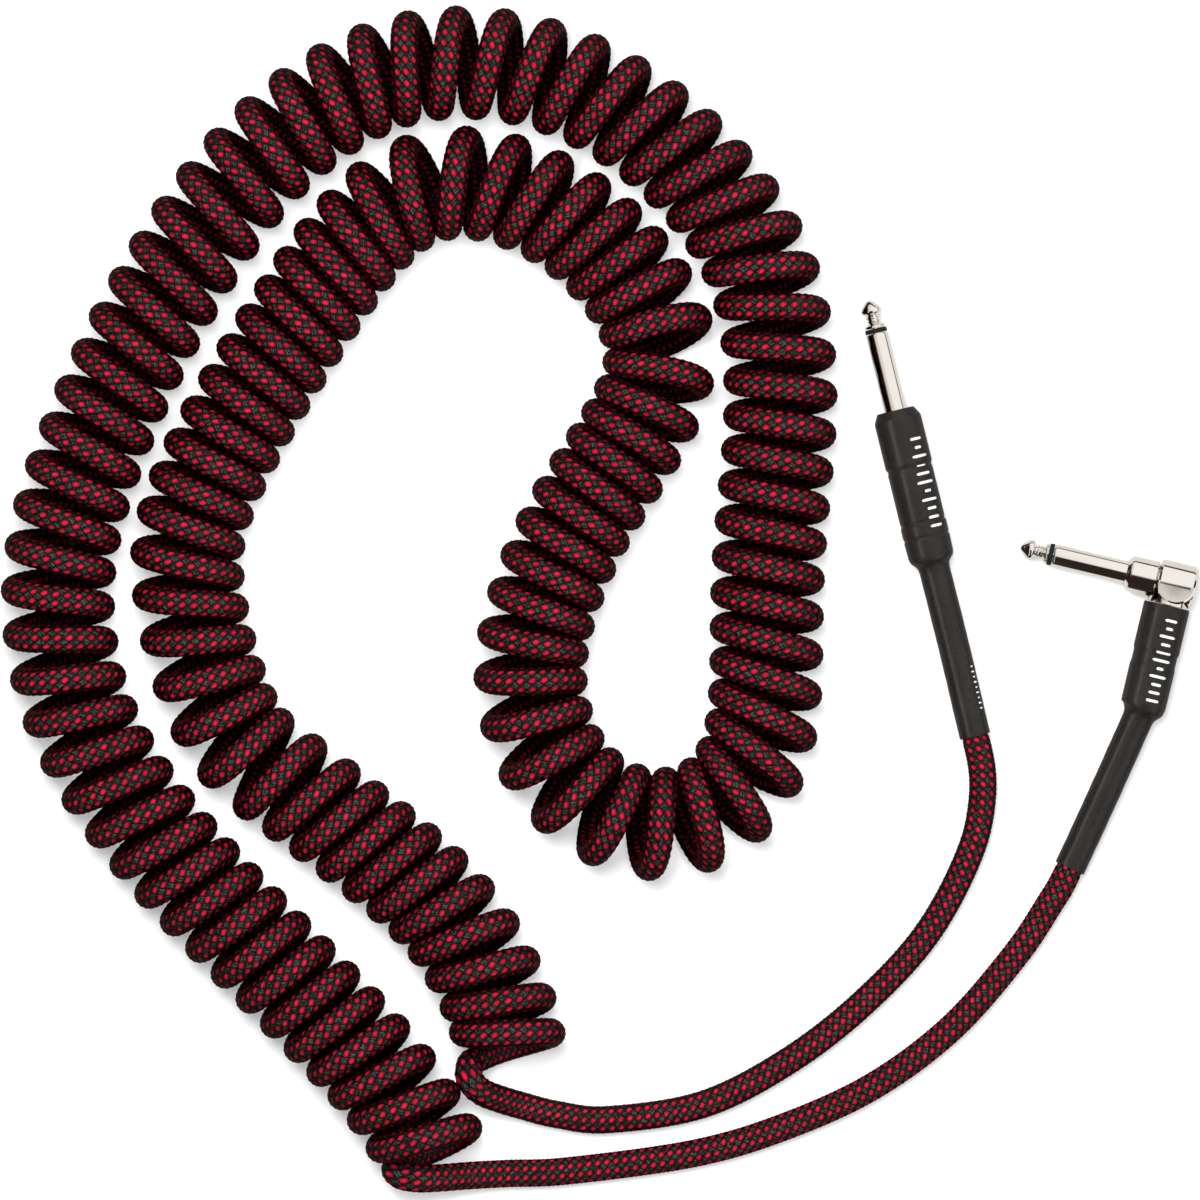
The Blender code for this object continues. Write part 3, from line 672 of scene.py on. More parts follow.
def squeeze(rows):
    """How much the cover is squeezed at each row: less than 1 inside the shrink boots."""
    places = rows * ROW_STEP
    boot_a = -(LENGTH_A - STRAIGHT_BOOT + BOOT_NECK)
    boot_b = LENGTH_COIL + LENGTH_B - ANGLE_BOOT + BOOT_NECK
    depth = np.maximum(boot_a - places, places - boot_b)
    share = np.clip(depth / SQUEEZE_LENGTH + SQUEEZE_AT_MOUTH, 0, 1)
    return 1 - (1 - SQUEEZED) * share


def strip_map(steps, levels, start, end):
    """Unwrapped strips of the cover laid side by side in the unit square."""
    rows = end - start + 1
    around = 2 * CARRIERS * HALF_STEP * CABLE_R
    strips = max(1, round(math.sqrt(rows * ROW_STEP / around)))
    per_strip = math.ceil(rows / strips)
    base = levels[:, :1] - start
    strip = np.minimum(base // per_strip, strips - 1)
    u = (strip + (steps + 1.5) / (2 * CARRIERS + 3)) / strips
    v = (levels - start - strip * per_strip + 1.5) / (per_strip + 5)
    return np.stack([u, v], axis=-1)


def inner_shade(points, start, end):
    """How much light reaches each point of the cover: less low down inside the coil, all of it on a lead."""
    height = points[:, 2].reshape(-1, CARRIERS)
    rise = np.clip((height - DEEP) / (OPEN - DEEP), 0, 1)
    places = (np.arange(start, end + 1) * ROW_STEP)[:, None]
    inside = np.minimum(places, LENGTH_COIL - places)
    in_coil = np.clip((inside - SHADE_FROM) / (SHADE_FULL - SHADE_FROM), 0, 1)
    rise = rise * rise * (3 - 2 * rise)
    return (1 - in_coil * (1 - DEEP_SHADE) * (1 - rise)).ravel()


def cover_piece(name, start_place, end_place):
    """A stretch of the woven cover between two distances along the cable."""
    start, end = row_of(start_place), row_of(end_place)
    points, faces, steps, levels = braid_rows(start, end)
    p = (levels - steps) / 4
    q = (levels + steps) / 4
    uvs = (
        ("strands", np.stack([p, q], axis=-1)),
        ("OFBake", strip_map(steps, levels, start, end)),
    )
    made = add_mesh(name, to_frame(points), faces, COVER, uvs)
    made.data.uv_layers["strands"].active = True
    shade = made.data.attributes.new("shade", "FLOAT", "POINT")
    shade.data.foreach_set("value", inner_shade(points, start, end).astype(np.float32))
    return made


def ring_sweep(name, places, radii, material, sides, closed=True):
    """A skin of rings along the cable: radii as one value per ring. closed joins the last ring to the
    first, which makes a tube with a bore; otherwise both ends are closed with a fan."""
    points = []
    for place, radius in zip(places, radii):
        centre, across, up = sample(place)
        for k in range(sides):
            angle = 2 * math.pi * k / sides
            points.append(centre + radius * (math.cos(angle) * across + math.sin(angle) * up))
    count = len(places)
    faces = []
    pairs = [(row, row + 1) for row in range(count - 1)]
    if closed:
        pairs.append((count - 1, 0))
    for low, high in pairs:
        for k in range(sides):
            n = (k + 1) % sides
            faces.append((low * sides + k, low * sides + n, high * sides + n, high * sides + k))
    if not closed:
        points += [sample(places[0])[0], sample(places[-1])[0]]
        for k in range(sides):
            n = (k + 1) % sides
            faces.append((n, k, count * sides, -1))
            faces.append(((count - 1) * sides + k, (count - 1) * sides + n, count * sides + 1, -1))
    return add_mesh(name, to_frame(points), np.array(faces), material)


def turned(name, place, outline, material, segments=64):
    """Turns an outline of (distance along X, radius) about X, in millimetres. An outline that starts and
    ends at radius 0 makes a solid; any other is closed into a ring with a bore."""
    hollow = outline[0][1] > 0
    rows = outline if hollow else outline[1:-1]
    points = []
    for along, radius in rows:
        for k in range(segments):
            angle = 2 * math.pi * k / segments
            points.append((along, radius * math.cos(angle), radius * math.sin(angle)))
    faces = []
    pairs = [(row, row + 1) for row in range(len(rows) - 1)]
    if hollow:
        pairs.append((len(rows) - 1, 0))
    for low, high in pairs:
        for k in range(segments):
            n = (k + 1) % segments
            faces.append((low * segments + k, low * segments + n, high * segments + n, high * segments + k))
    if not hollow:
        points += [(outline[0][0], 0, 0), (outline[-1][0], 0, 0)]
        tip = len(points) - 2
        last = (len(rows) - 1) * segments
        for k in range(segments):
            n = (k + 1) % segments
            faces.append((n, k, tip, -1))
            faces.append((last + k, last + n, tip + 1, -1))
    made = add_mesh(name, np.array(points, float) * MM, np.array(faces), material)
    made.data.transform(place)
    tidy_mesh(made)
    return made


def tidy_mesh(made, angle=35):
    """Faces out, and edges sharper than an angle shown sharp."""
    shell = bmesh.new()
    shell.from_mesh(made.data)
    bmesh.ops.recalc_face_normals(shell, faces=shell.faces)
    shell.to_mesh(made.data)
    shell.free()
    made.data.set_sharp_from_angle(angle=math.radians(angle))


def plug_matrix(corner, heading):
    corner = Vector(to_frame(corner))
    return Matrix.Translation(corner) @ Matrix.Rotation(math.radians(heading), 4, "Z")


# ---- materials ----
class Shader:
    """Short ways to add and join shader nodes of one material."""

    def __init__(self, name):
        self.material = bpy.data.materials.new(name)
        self.material.use_nodes = True
        self.tree = self.material.node_tree
        self.surface = self.tree.nodes["Principled BSDF"]

    @classmethod
    def on_world(cls, name):
        made = cls.__new__(cls)
        made.material = bpy.data.worlds.new(name)
        made.material.use_nodes = True
        made.tree = made.material.node_tree
        made.surface = made.tree.nodes["Background"]
        return made

    def node(self, kind, inputs=None, **settings):
        made = self.tree.nodes.new(kind)
        for key, value in settings.items():
            setattr(made, key, value)
        for key, value in (inputs or {}).items():
            self.feed(made.inputs[key], value)
        return made

    def feed(self, socket, value):
        if isinstance(value, bpy.types.NodeSocket):
            self.tree.links.new(value, socket)
        else:
            socket.default_value = value

    def math(self, operation, first, second=0.0, third=0.0):
        return self.node("ShaderNodeMath", {0: first, 1: second, 2: third}, operation=operation).outputs[0]

    def step(self, value, low, high):
        """0 below low, 1 above high, smooth between; low above high turns it round."""
        made = self.node("ShaderNodeMapRange", {0: value, 1: low, 2: high}, interpolation_type="SMOOTHSTEP")
        return made.outputs[0]

    def mix(self, share, first, second):
        made = self.node("ShaderNodeMix", {0: share, 6: first, 7: second}, data_type="RGBA")
        return made.outputs[2]

    def scaled(self, colour, factor):
        made = self.node("ShaderNodeVectorMath", {0: colour}, operation="SCALE")
        self.feed(made.inputs["Scale"], factor)
        return made.outputs[0]

    def noise(self, scale, detail):
        where = self.node("ShaderNodeTexCoord").outputs["Object"]
        return self.node("ShaderNodeTexNoise", {"Scale": scale, "Detail": detail, "Vector": where}).outputs[0]

    def set(self, **values):
        for key, value in values.items():
            self.feed(self.surface.inputs[key.replace("_", " ")], value)

    def bump(self, height, strength, distance):
        made = self.node("ShaderNodeBump", {"Strength": strength, "Distance": distance, "Height": height})
        self.feed(self.surface.inputs["Normal"], made.outputs[0])


def cover_material():
    """Red strands woven one over, one under through grey-green strands."""
    s = Shader("woven_cover")
    uv = s.node("ShaderNodeUVMap", uv_map="strands").outputs[0]
    split = s.node("ShaderNodeSeparateXYZ", {0: uv})
    p, q = split.outputs[0], split.outputs[1]
    cell_p, cell_q = s.math("FLOOR", p), s.math("FLOOR", q)
    in_p = s.math("ABSOLUTE", s.math("SUBTRACT", s.math("SUBTRACT", p, cell_p), 0.5))
    in_q = s.math("ABSOLUTE", s.math("SUBTRACT", s.math("SUBTRACT", q, cell_q), 0.5))
    red_tile = s.math("COMPARE", s.math("FLOORED_MODULO", s.math("ADD", cell_p, cell_q), 2.0), 0.0, 0.5)
    cell = s.node("ShaderNodeCombineXYZ", {0: cell_p, 1: cell_q}).outputs[0]
    chance = s.node("ShaderNodeTexWhiteNoise", {"Vector": cell}).outputs[0]

    # Each strand is a bundle of fine plies that run along it.
    red_ply = s.math("SINE", s.math("MULTIPLY", q, 2 * math.pi * PLIES_RED))
    dark_ply = s.math("SINE", s.math("MULTIPLY", p, 2 * math.pi * PLIES_DARK))
    worn = s.noise(900.0, 2.0)
    fuzz = s.noise(1500.0, 2.0)

    # A strand's edge is frayed by about an eighth of its width.
    frayed = s.math("MULTIPLY_ADD", fuzz, 0.26, -0.13)

    # A red strand shows as an oval where it comes to the top; the dark ones fill the rest.
    squared = s.math("MULTIPLY_ADD", in_q, s.math("MULTIPLY", in_q, 2.3), s.math("MULTIPLY", in_p, in_p))
    oval = s.math("ADD", s.math("SQRT", squared), frayed)
    red_mask = s.math("MULTIPLY", red_tile, s.step(oval, 0.66, 0.52))
    seam = s.math("MAXIMUM", s.step(in_p, 0.22, 0.50), s.step(in_q, 0.26, 0.50))

    # Painted shade and highlight: each red oval is painted dark at its rim and bright in its middle, where
    # light falls on the yarn's top.
    red_low = s.mix(s.step(oval, 0.56, 0.15), (0.10, 0.002, 0.008, 1), (0.50, 0.008, 0.030, 1))
    lift = s.math("MULTIPLY_ADD", red_ply, 0.15, s.math("MULTIPLY_ADD", chance, 0.50, 0.65))
    red = s.scaled(red_low, lift)
    # The gaps between the strands are near black: partly black fuzz, partly painted shade.
    dark_low = s.mix(seam, (0.029, 0.038, 0.031, 1), (0.003, 0.002, 0.002, 1))
    tint = s.mix(worn, (0.75, 0.85, 0.80, 1), (1.15, 1.0, 1.05, 1))
    inputs = {0: 1.0, 6: dark_low, 7: tint}
    dark_low = s.node("ShaderNodeMix", inputs, data_type="RGBA", blend_type="MULTIPLY").outputs[2]
    lift = s.math("MULTIPLY_ADD", dark_ply, 0.50, s.math("MULTIPLY_ADD", chance, 0.5, 0.55))
    lift = s.math("MULTIPLY", lift, s.math("MULTIPLY_ADD", s.step(fuzz, 0.38, 0.62), 1.3, 0.15))
    dark = s.scaled(dark_low, lift)

    # Painted shade: the colour is darkened where the cover is seen edge-on, and low down in the coil by the
    # shade attribute.
    facing = s.node("ShaderNodeLayerWeight", {"Blend": 0.5}).outputs["Facing"]
    red_edge_shade = s.math("MULTIPLY_ADD", s.step(facing, 0.90, 0.25), 0.65, 0.35)
    dark_edge_shade = s.math("MULTIPLY_ADD", s.step(facing, 0.60, 0.10), 0.85, 0.15)
    shade = s.node("ShaderNodeAttribute", attribute_name="shade").outputs["Fac"]
    light = s.math("MULTIPLY", shade, dark_edge_shade)
    woven = s.mix(red_mask, s.scaled(dark, dark_edge_shade), s.scaled(red, red_edge_shade))
    s.set(Base_Color=s.scaled(woven, shade))

    s.set(Roughness=s.math("MULTIPLY_ADD", chance, 0.15, 0.55))
    s.set(Specular_IOR_Level=s.math("MULTIPLY", light, 0.16))
    red_height = s.math("MULTIPLY_ADD", red_ply, 0.10, 1.0)
    dark_height = s.math("MULTIPLY_ADD", dark_ply, 0.12, s.math("MULTIPLY_ADD", seam, -0.6, 0.7))
    both = s.node("ShaderNodeMix", {0: red_mask, 2: dark_height, 3: red_height}, data_type="FLOAT")
    s.bump(both.outputs[0], 0.9, 0.00022)
    return s.material


def shrink_material():
    s = Shader("shrink_tube")
    broad = s.noise(90.0, 4.0)
    fine = s.noise(2600.0, 2.0)
    streaks = s.noise(700.0, 3.0)
    s.set(Base_Color=s.mix(broad, (0.005, 0.0042, 0.0037, 1), (0.011, 0.0092, 0.0082, 1)))
    s.set(Roughness=s.math("MULTIPLY_ADD", streaks, 0.20, 0.20))
    facing = s.node("ShaderNodeLayerWeight", {"Blend": 0.5}).outputs["Facing"]
    s.set(Specular_IOR_Level=s.math("MULTIPLY_ADD", s.step(facing, 0.75, 0.15), 0.17, 0.03))
    s.bump(s.math("ADD", fine, s.math("MULTIPLY", broad, 2.0)), 0.20, 0.00008)
    return s.material


def nickel_material(name="nickel"):
    s = Shader(name)
    broad = s.noise(60.0, 3.0)
    fine = s.noise(1500.0, 3.0)
    s.set(Base_Color=s.mix(broad, (0.70, 0.66, 0.61, 1), (0.80, 0.77, 0.72, 1)))
    s.set(Metallic=1.0, Roughness=s.math("MULTIPLY_ADD", fine, 0.08, 0.04))
    s.bump(fine, 0.05, 0.00002)
    return s.material


def plain_material(name, first, second, scale, rough, metallic=0.0, bump=0.1, gloss=0.3):
    """Two close colours mottled by noise, with roughness that varies a little."""
    s = Shader(name)
    mottle = s.noise(scale, 4.0)
    fine = s.noise(scale * 12, 2.0)
    s.set(Base_Color=s.mix(mottle, (*first, 1), (*second, 1)))
    s.set(Metallic=metallic, Roughness=s.math("MULTIPLY_ADD", fine, 0.15, rough))
    s.set(Specular_IOR_Level=0.5 if metallic else gloss)
    s.bump(fine, bump, 0.00005)
    return s.material


COVER = cover_material()
SHRINK = shrink_material()
NICKEL = nickel_material()
SCUFFED = plain_material("scuffed_nickel", (0.66, 0.63, 0.58), (0.90, 0.86, 0.80), 420, 0.22, 1.0, 0.25)
INK = plain_material("white_ink", (0.70, 0.70, 0.69), (0.84, 0.84, 0.83), 800, 0.45)
BRASS = plain_material("plain_brass", (0.50, 0.33, 0.12), (0.62, 0.44, 0.18), 200, 0.28, 1.0)
COPPER = plain_material("copper_strands", (0.55, 0.22, 0.12), (0.70, 0.33, 0.20), 900, 0.35, 1.0, 0.5)
SOLDER = plain_material("solder", (0.42, 0.42, 0.43), (0.55, 0.55, 0.56), 500, 0.35, 1.0)
JACKET = plain_material("inner_jacket", (0.020, 0.020, 0.020), (0.035, 0.034, 0.033), 300, 0.50)
CORE = plain_material("core_insulation", (0.62, 0.62, 0.59), (0.72, 0.72, 0.69), 300, 0.45)
BLACK = plain_material("black_plastic", (0.008, 0.008, 0.008), (0.014, 0.014, 0.014), 400, 0.45, gloss=0.12)
CLEAR = plain_material("clear_plastic", (0.55, 0.53, 0.48), (0.64, 0.62, 0.57), 300, 0.30)
SLOT_MATERIALS = {
    "woven_cover": COVER,
    "shrink_tube": SHRINK,
    "nickel": NICKEL,
    "plain_brass": BRASS,
    "copper_strands": COPPER,
    "solder": SOLDER,
    "inner_jacket": JACKET,
    "core_insulation": CORE,
    "black_plastic": BLACK,
    "clear_plastic": CLEAR,
}


def coat_frame():
    """Every CAD node that stays takes the material of its slot."""
    slots = {row["node"]: row["material_slot"] for row in frame["record"]["subparts"]}
    for name, node in frame["nodes"].items():
        material = SLOT_MATERIALS[slots[name]]
        node.data.materials.clear()
        node.data.materials.append(material)


def bend(made):
    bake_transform(made)


def build_cover():
    a_from, a_to = A_STRETCH
    made = cover_piece("cover_a_end", at_a(LEAD_A_HINGE), turn_place(a_from))
    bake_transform(made)
    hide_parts("coil_a_end_turns")

    cuts = np.linspace(a_from, B_TAIL[0], COIL_PIECES + 1)
    for k in range(COIL_PIECES):
        made = cover_piece(f"cover_coil_{k + 1}", turn_place(cuts[k]), turn_place(cuts[k + 1]))
        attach(made, "coil")
        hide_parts(f"coil_section_{k + 1:02d}")

    made = cover_piece("cover_b_tail", turn_place(B_TAIL[0]), turn_place(B_TAIL[1]))
    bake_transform(made)
    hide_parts("coil_b_tail_turns")

    made = cover_piece("cover_b_end", turn_place(B_TAIL[1]), at_b(LEAD_B_HINGE))
    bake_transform(made)
    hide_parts("coil_b_end_turns")

    made = cover_piece("cover_lead_a", at_a(PLUG_A_HINGE), at_a(LEAD_A_HINGE))
    bend(made)
    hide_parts("lead_a_braid")
    made = cover_piece("cover_plug_a", plug_a_place(BRAID_ENDS[0]), at_a(PLUG_A_HINGE))
    bend(made)
    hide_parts("plug_a_braid")

    made = cover_piece("cover_lead_b", at_b(LEAD_B_HINGE), at_b(PLUG_B_HINGE))
    bend(made)
    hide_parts("lead_b_braid")
    boot = LENGTH_B - ANGLE_BOOT + BOOT_NECK
    made = cover_piece("cover_lead_b_end", at_b(PLUG_B_HINGE), at_b(boot))
    bend(made)
    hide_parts("lead_b_tail")
    made = cover_piece("cover_plug_b", at_b(boot), plug_b_place(BRAID_ENDS[1]))
    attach(made, "angle_plug")
    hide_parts("plug_b_braid")


def layer_piece(name, node, start, end, outer, inner, material):
    count = max(2, round(abs(end - start) / LAYER_STEP))
    places = list(np.linspace(start, end, count + 1))
    radii = [outer] * len(places)
    if inner > 0:
        bore = [inner] * len(places)
        made = ring_sweep(name, places + places[::-1], radii + bore, material, LAYER_SIDES)
    else:
        made = ring_sweep(name, places, radii, material, LAYER_SIDES, closed=False)
    tidy_mesh(made)
    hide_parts(node)
    return made


def build_layers():
    materials = {
        "inner_jacket": JACKET,
        "shield": COPPER,
        "core_insulation": CORE,
        "conductor": COPPER,
    }
    boot = LENGTH_B - ANGLE_BOOT + BOOT_NECK
    for layer, (outer, inner, end_a, end_b) in LAYERS.items():
        look = (outer, inner, materials[layer])
        hinge, far = at_a(LEAD_A_HINGE), at_a(LEAD_A_HINGE + BEND_LENGTH)
        made = layer_piece(f"in_lead_a_{layer}", f"lead_a_{layer}", hinge, at_a(PLUG_A_HINGE), *look)
        bend(made)
        hinge, far = at_a(PLUG_A_HINGE), at_a(PLUG_A_HINGE + BEND_LENGTH)
        made = layer_piece(f"in_plug_a_{layer}", f"plug_a_{layer}", hinge, plug_a_place(end_a), *look)
        bend(made)
        hinge, far = at_b(LEAD_B_HINGE), at_b(LEAD_B_HINGE + BEND_LENGTH)
        made = layer_piece(f"in_lead_b_{layer}", f"lead_b_{layer}", hinge, at_b(PLUG_B_HINGE), *look)
        bend(made)
        made = layer_piece(f"in_plug_b_{layer}", f"plug_b_{layer}", at_b(boot), plug_b_place(end_b), *look)
        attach(made, "angle_plug")


# ---- shrink boots ----
def smooth_outline(outline, length):
    """The outline as evenly spaced distances and their radii, its corners slightly rounded."""
    places = np.arange(outline[0][0], length, BOOT_STEP)
    radii = np.interp(places, [row[0] for row in outline], [row[1] for row in outline])
    padded = np.pad(radii, 1, mode="edge")
    return places, np.convolve(padded, np.ones(3) / 3, mode="valid")


def boot_piece(name, outline, length, place_of, body, node, lip=0.0):
    """A shrink tube: soft steps where it grips the barrel, then a snug sleeve over the cable. A lip of that
    depth closes it round the shaft."""
    behind, radii = smooth_outline(outline, length)
    ripple = RIPPLE * np.sin(behind * 0.9) * np.sin(behind * 0.37 + 1.0)
    snug = np.clip((behind - outline[-1][0]) / RIPPLE_FADE, 0, 1)
    radii = radii + ripple * snug
    radii[-1] -= MOUTH_TURN_IN
    inner = np.maximum(radii - BOOT_WALL, BOOT_BORE)
    inner[behind < lip] = LIP_BORE
    places = [place_of(b) for b in behind]
    walls = list(radii) + list(inner[::-1])
    made = ring_sweep(name, places + places[::-1], walls, SHRINK, BOOT_SIDES)
    tidy_mesh(made, 50)
    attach(made, body)
    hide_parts(node)


def printed_bars(name, bars, outline, place_of, body):
    """Bars of white ink across a shrink tube. Each bar is (distance behind, turn from the top in degrees,
    width, length)."""
    points, faces = [], []
    for behind, turn, width, length in bars:
        radius = np.interp(behind, [row[0] for row in outline], [row[1] for row in outline])
        half_turn = length / 2 / radius
        for k in range(BAR_SECTIONS + 1):
            angle = math.radians(turn) + half_turn * (2 * k / BAR_SECTIONS - 1)
            taper = BAR_TAPER if k in (0, BAR_SECTIONS) else 1.0
            for edge, lift in ((-1, INK_LIFT), (1, INK_LIFT), (1, -INK_DEPTH), (-1, -INK_DEPTH)):
                centre, side = beside(place_of(behind + edge * width / 2 * taper))
                outward = math.sin(angle) * side + math.cos(angle) * np.array([0, 0, 1.0])
                points.append(centre + (radius + lift) * outward)
        first = len(points) - 4 * (BAR_SECTIONS + 1)
        for k in range(BAR_SECTIONS):
            low = first + 4 * k
            faces += [(low + c, low + (c + 1) % 4, low + 4 + (c + 1) % 4, low + 4 + c) for c in range(4)]
        faces += [tuple(first + c for c in range(4)), tuple(len(points) - 4 + c for c in range(4))]
    made = add_mesh(name, to_frame(points), np.array(faces), INK)
    tidy_mesh(made)
    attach(made, body)


def beside(place):
    """Centre of the cable and the level direction to its east side."""
    centre = sample(place)[0]
    ahead = sample(place + 1)[0] - sample(place - 1)[0]
    side = np.array([ahead[1], -ahead[0], 0.0])
    side *= np.sign(side[0]) / np.linalg.norm(side)
    return centre, side


def sound_mark(mark):
    """A generic mark: a row of bars whose lengths rise and fall like sound."""
    start, end, turn = mark
    bars = []
    for k in range(MARK_BARS):
        swell = abs(math.sin(1.0 + 1.9 * k)) * (1 - 0.4 * abs(2 * k / (MARK_BARS - 1) - 1))
        behind = start + (end - start) * k / (MARK_BARS - 1)
        bars.append((behind, turn, MARK_WIDTH, MARK_SHORTEST + MARK_SWELL * swell))
    return bars


def build_marks():
    printed_bars("straight_mark", sound_mark(STRAIGHT_MARK), STRAIGHT_OUTLINE, plug_a_place, "straight_plug")
    printed_bars("angle_mark", sound_mark(ANGLE_MARK), ANGLE_OUTLINE, plug_b_place, "angle_plug")
    start, end, turn = TICK_MARK
    spacing = (end - start) / (TICKS - 1)
    ticks = [(start + spacing * k, turn, TICK_WIDTH, TICK_LENGTHS[k % 2]) for k in range(TICKS)]
    printed_bars("straight_ticks", ticks, STRAIGHT_OUTLINE, plug_a_place, "straight_plug")


def build_boots():
    length = STRAIGHT_BARREL_END + STRAIGHT_BOOT - BOOT_NECK
    node = "straight_shrink_boot"
    boot_piece("straight_shrink", STRAIGHT_OUTLINE, length, plug_a_place, "straight_plug", node, STRAIGHT_LIP)
    length = ANGLE_BARREL_END + ANGLE_BOOT - BOOT_NECK
    node = "angle_shrink_boot"
    boot_piece("angle_shrink", ANGLE_OUTLINE, length, plug_b_place, "angle_plug", node)


# ---- plugs ----
def plug_metal(prefix, place, rod_end, body):
    tip = turned(f"{prefix}_tip", place, (*TIP_OUTLINE, (rod_end, ROD_R), (rod_end, 0.0)), NICKEL)
    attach(tip, body)
    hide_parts(f"{prefix}_tip_contact")
    ring = turned(f"{prefix}_ring", place, RING_OUTLINE, BLACK)
    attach(ring, body)
    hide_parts(f"{prefix}_tip_insulator")


def build_straight_plug():
    place = plug_matrix(STRAIGHT_SHOULDER, STRAIGHT_HEADING)
    plug_metal("straight", place, STRAIGHT_ROD_END, "straight_plug")
    sleeve = turned("straight_shaft", place, SLEEVE_FRONT + STRAIGHT_ROOT, NICKEL)
    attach(sleeve, "straight_plug")
    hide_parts("straight_sleeve")


def build_angle_plug():
    place = plug_matrix(ANGLE_SHOULDER, ANGLE_HEADING)
    plug_metal("angle", place, ANGLE_ROD_END, "angle_plug")
    sleeve = turned("angle_shaft", place, SLEEVE_FRONT + ANGLE_ROOT, NICKEL)
    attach(sleeve, "angle_plug")
    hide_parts("angle_sleeve")
    # Cut at a thousand times the size, where the solver is exact enough, then shrunk into place.
    bench = Matrix.Scale(1 / MM, 4)
    collar = turned("angle_collar_ring", bench, COLLAR_OUTLINE, NICKEL)
    carve(collar, hull("groove", bench, GROOVE))
    elbow = turned("angle_elbow_body", bench, DRUM_OUTLINE, NICKEL)
    carve(elbow, boss(bench), "UNION")
    carve(elbow, turned("stub", bench @ BARREL_TURN, STUB_OUTLINE, NICKEL, 48), "UNION")
    carve(elbow, turned("room", bench, COLLAR_ROOM, NICKEL, 48))
    carve(elbow, hull("slant", bench, SLANT))
    carve(elbow, hull("groove", bench, GROOVE))
    carve(elbow, turned("bore", bench @ BARREL_TURN, WIRE_BORE, NICKEL, 48))
    carve(elbow, turned("bore", bench, SLEEVE_BORE, NICKEL, 48))
    for made, node in ((collar, "angle_collar"), (elbow, "angle_elbow")):
        made.data.transform(place @ Matrix.Scale(MM, 4))
        tidy_mesh(made, 18)
        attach(made, "angle_plug")
        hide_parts(node)
    elbow.data.materials.append(SCUFFED)
    for face in elbow.data.polygons:
        if face.normal.z > FLAT_ON_TOP:
            face.material_index = 1


def boss(place):
    """The flat-topped round boss over the bend, on the barrel's side only."""
    upright = Matrix.Translation((BOSS_CENTRE * MM, 0, 0)) @ Matrix.Rotation(-math.pi / 2, 4, "Y")
    made = turned("boss", place @ upright, BOSS_OUTLINE, NICKEL)
    carve(made, hull("half", place, BARREL_HALF), "INTERSECT")
    return made


def hull(name, place, corners):
    """The convex block around a few corners, in millimetres in the plug's own axes."""
    block = bmesh.new()
    for corner in corners:
        block.verts.new(place @ (Vector(corner) * MM))
    bmesh.ops.convex_hull(block, input=block.verts)
    bmesh.ops.recalc_face_normals(block, faces=block.faces)
    mesh = bpy.data.meshes.new(name)
    block.to_mesh(mesh)
    block.free()
    mesh.materials.append(NICKEL)
    made = bpy.data.objects.new(name, mesh)
    bpy.context.scene.collection.objects.link(made)
    return made


def carve(made, tool, operation="DIFFERENCE"):
    """Joins a tool to an object or cuts it away, and removes the tool."""
    cut = made.modifiers.new("cut", "BOOLEAN")
    cut.object = tool
    cut.operation = operation
    cut.solver = "EXACT"
    bpy.context.view_layer.update()
    evaluated = made.evaluated_get(bpy.context.evaluated_depsgraph_get())
    mesh = bpy.data.meshes.new_from_object(evaluated)
    made.modifiers.clear()
    made.data = mesh
    bpy.data.objects.remove(tool)


# ---- setting ----
def grey(level):
    return (level, level, level, 1)


def build_floor():
    """Plain and pale; the metal mirrors it darker, and darkest where it is seen along the table."""
    mesh = bpy.data.meshes.new("floor")
    corners = ((-1, -1), (1, -1), (1, 1), (-1, 1))
    mesh.from_pydata([(x * FLOOR_HALF, y * FLOOR_HALF, 0) for x, y in corners], [], [(0, 1, 2, 3)])
    s = Shader("floor")
    path = s.node("ShaderNodeLightPath")
    to_viewer = s.node("ShaderNodeSeparateXYZ", {0: s.node("ShaderNodeNewGeometry").outputs["Incoming"]})
    side = s.step(s.math("MAXIMUM", to_viewer.outputs[0], to_viewer.outputs[1]), 0.3, 0.7)
    level = s.math("SUBTRACT", to_viewer.outputs[2], s.math("MULTIPLY", side, 0.20))
    mirrored = s.mix(s.step(level, 0.05, 0.10), (0.01, 0.01, 0.01, 1), (0.52, 0.51, 0.49, 1))
    colour = s.mix(path.outputs["Is Glossy Ray"], grey(FLOOR_GREY), mirrored)
    colour = s.mix(path.outputs["Is Diffuse Ray"], colour, grey(FLOOR_BOUNCE))
    glow = s.math("MULTIPLY", path.outputs["Is Camera Ray"], FLOOR_GLOW)
    s.set(Base_Color=colour, Roughness=0.9, Specular_IOR_Level=0.1)
    s.set(Emission_Color=grey(1.0), Emission_Strength=glow)
    mesh.materials.append(s.material)
    floor = bpy.data.objects.new("floor", mesh)
    floor.location.z = -FLOOR_DROP
    bpy.context.scene.collection.objects.link(floor)


def add_light(name, size, power, where, aim=(0, 0, 0)):
    data = bpy.data.lights.new(name, "AREA")
    data.size = size
    data.energy = power
    light = bpy.data.objects.new(name, data)
    light.location = where
    light.rotation_mode = "QUATERNION"
    light.rotation_quaternion = (Vector(aim) - Vector(where)).to_track_quat("-Z", "Y")
    bpy.context.scene.collection.objects.link(light)
    return light


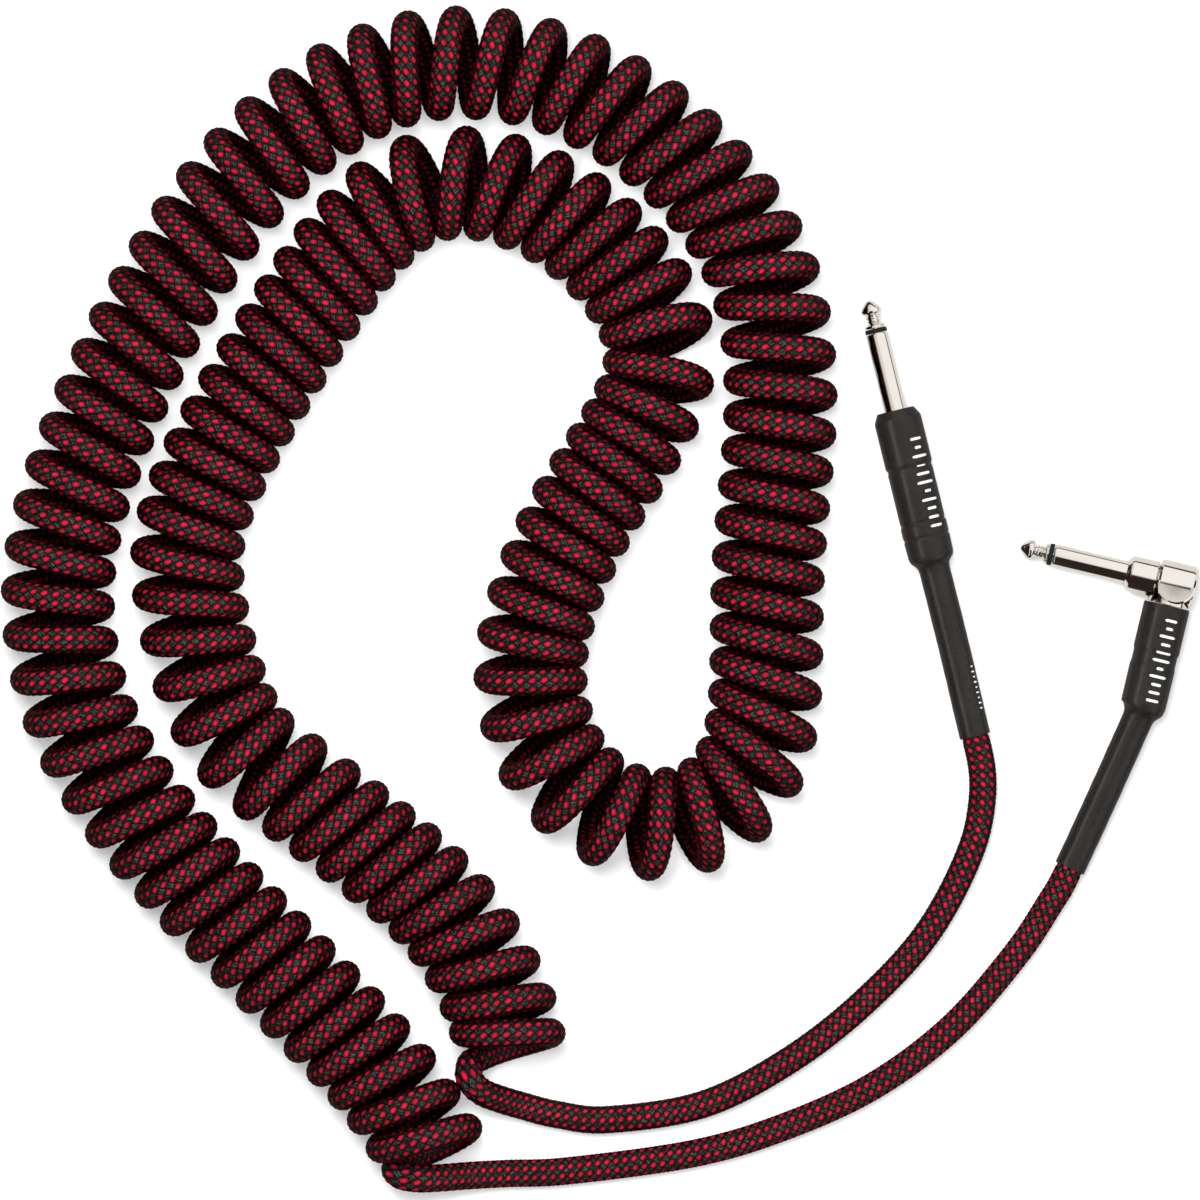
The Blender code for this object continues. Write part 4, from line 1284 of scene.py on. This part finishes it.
def add_boot_light():
    """A strip to the left that only the shrink tube mirrors, as one soft line along each boot."""
    aim = Vector(BOOT_LIGHT_AIM)
    where = aim + BOOT_LIGHT_FAR * Vector(BOOT_LIGHT_WAY)
    light = add_light("boot_line", BOOT_LIGHT_SIZE[0], BOOT_LIGHT_POWER, where, aim)
    light.data.shape = "RECTANGLE"
    light.data.size_y = BOOT_LIGHT_SIZE[1]
    lit = bpy.data.collections.new("shrink_boots")
    for thing in bpy.context.scene.objects:
        if thing.type == "MESH" and SHRINK.name in thing.data.materials:
            lit.objects.link(thing)
    light.light_linking.receiver_collection = lit


def studio_world():
    """Dim for soft surfaces; bright for what the metal mirrors, with dark panels below and to the left."""
    s = Shader.on_world("studio")
    way = s.node("ShaderNodeSeparateXYZ", {0: s.node("ShaderNodeTexCoord").outputs["Generated"]})
    x, y, z = way.outputs[0], way.outputs[1], way.outputs[2]
    below = s.math("MULTIPLY", s.step(y, 0.0, -0.20), s.step(s.math("ABSOLUTE", x), 0.42, 0.30))
    left = s.step(x, -0.50, -0.70)
    horizon = s.step(s.math("ABSOLUTE", z), 0.15, 0.09)
    dark = s.math("MAXIMUM", s.math("MAXIMUM", below, left), horizon)
    bright = s.mix(s.step(x, -0.45, 0.10), (0.90, 0.85, 0.81, 1), (1.17, 1.17, 1.16, 1))
    mirrored = s.mix(dark, bright, (0.032, 0.021, 0.017, 1))
    path = s.node("ShaderNodeLightPath")
    s.feed(s.surface.inputs[0], s.mix(path.outputs["Is Diffuse Ray"], mirrored, grey(SOFT_LEVEL)))
    s.surface.inputs[1].default_value = 1.0
    return s.material


def build_setting():
    build_floor()
    bpy.context.scene.world = studio_world()
    for light in LIGHTS:
        add_light(*light).visible_glossy = False
    add_boot_light()
    bpy.context.scene.view_settings.view_transform = "Standard"

    camera_data = bpy.data.cameras.new("camera")
    camera_data.sensor_width = SENSOR
    camera_data.lens = SENSOR * CAMERA_HEIGHT / PICTURE_WIDTH
    camera_data.clip_end = 50.0
    camera = bpy.data.objects.new("camera", camera_data)
    x, y, _ = to_frame((0.0, 0.0, 0.0))
    camera.location = (x, y, CAMERA_HEIGHT)
    bpy.context.scene.collection.objects.link(camera)
    bpy.context.scene.camera = camera


coat_frame()
build_cover()
build_layers()
build_boots()
build_marks()
build_straight_plug()
build_angle_plug()
build_setting()
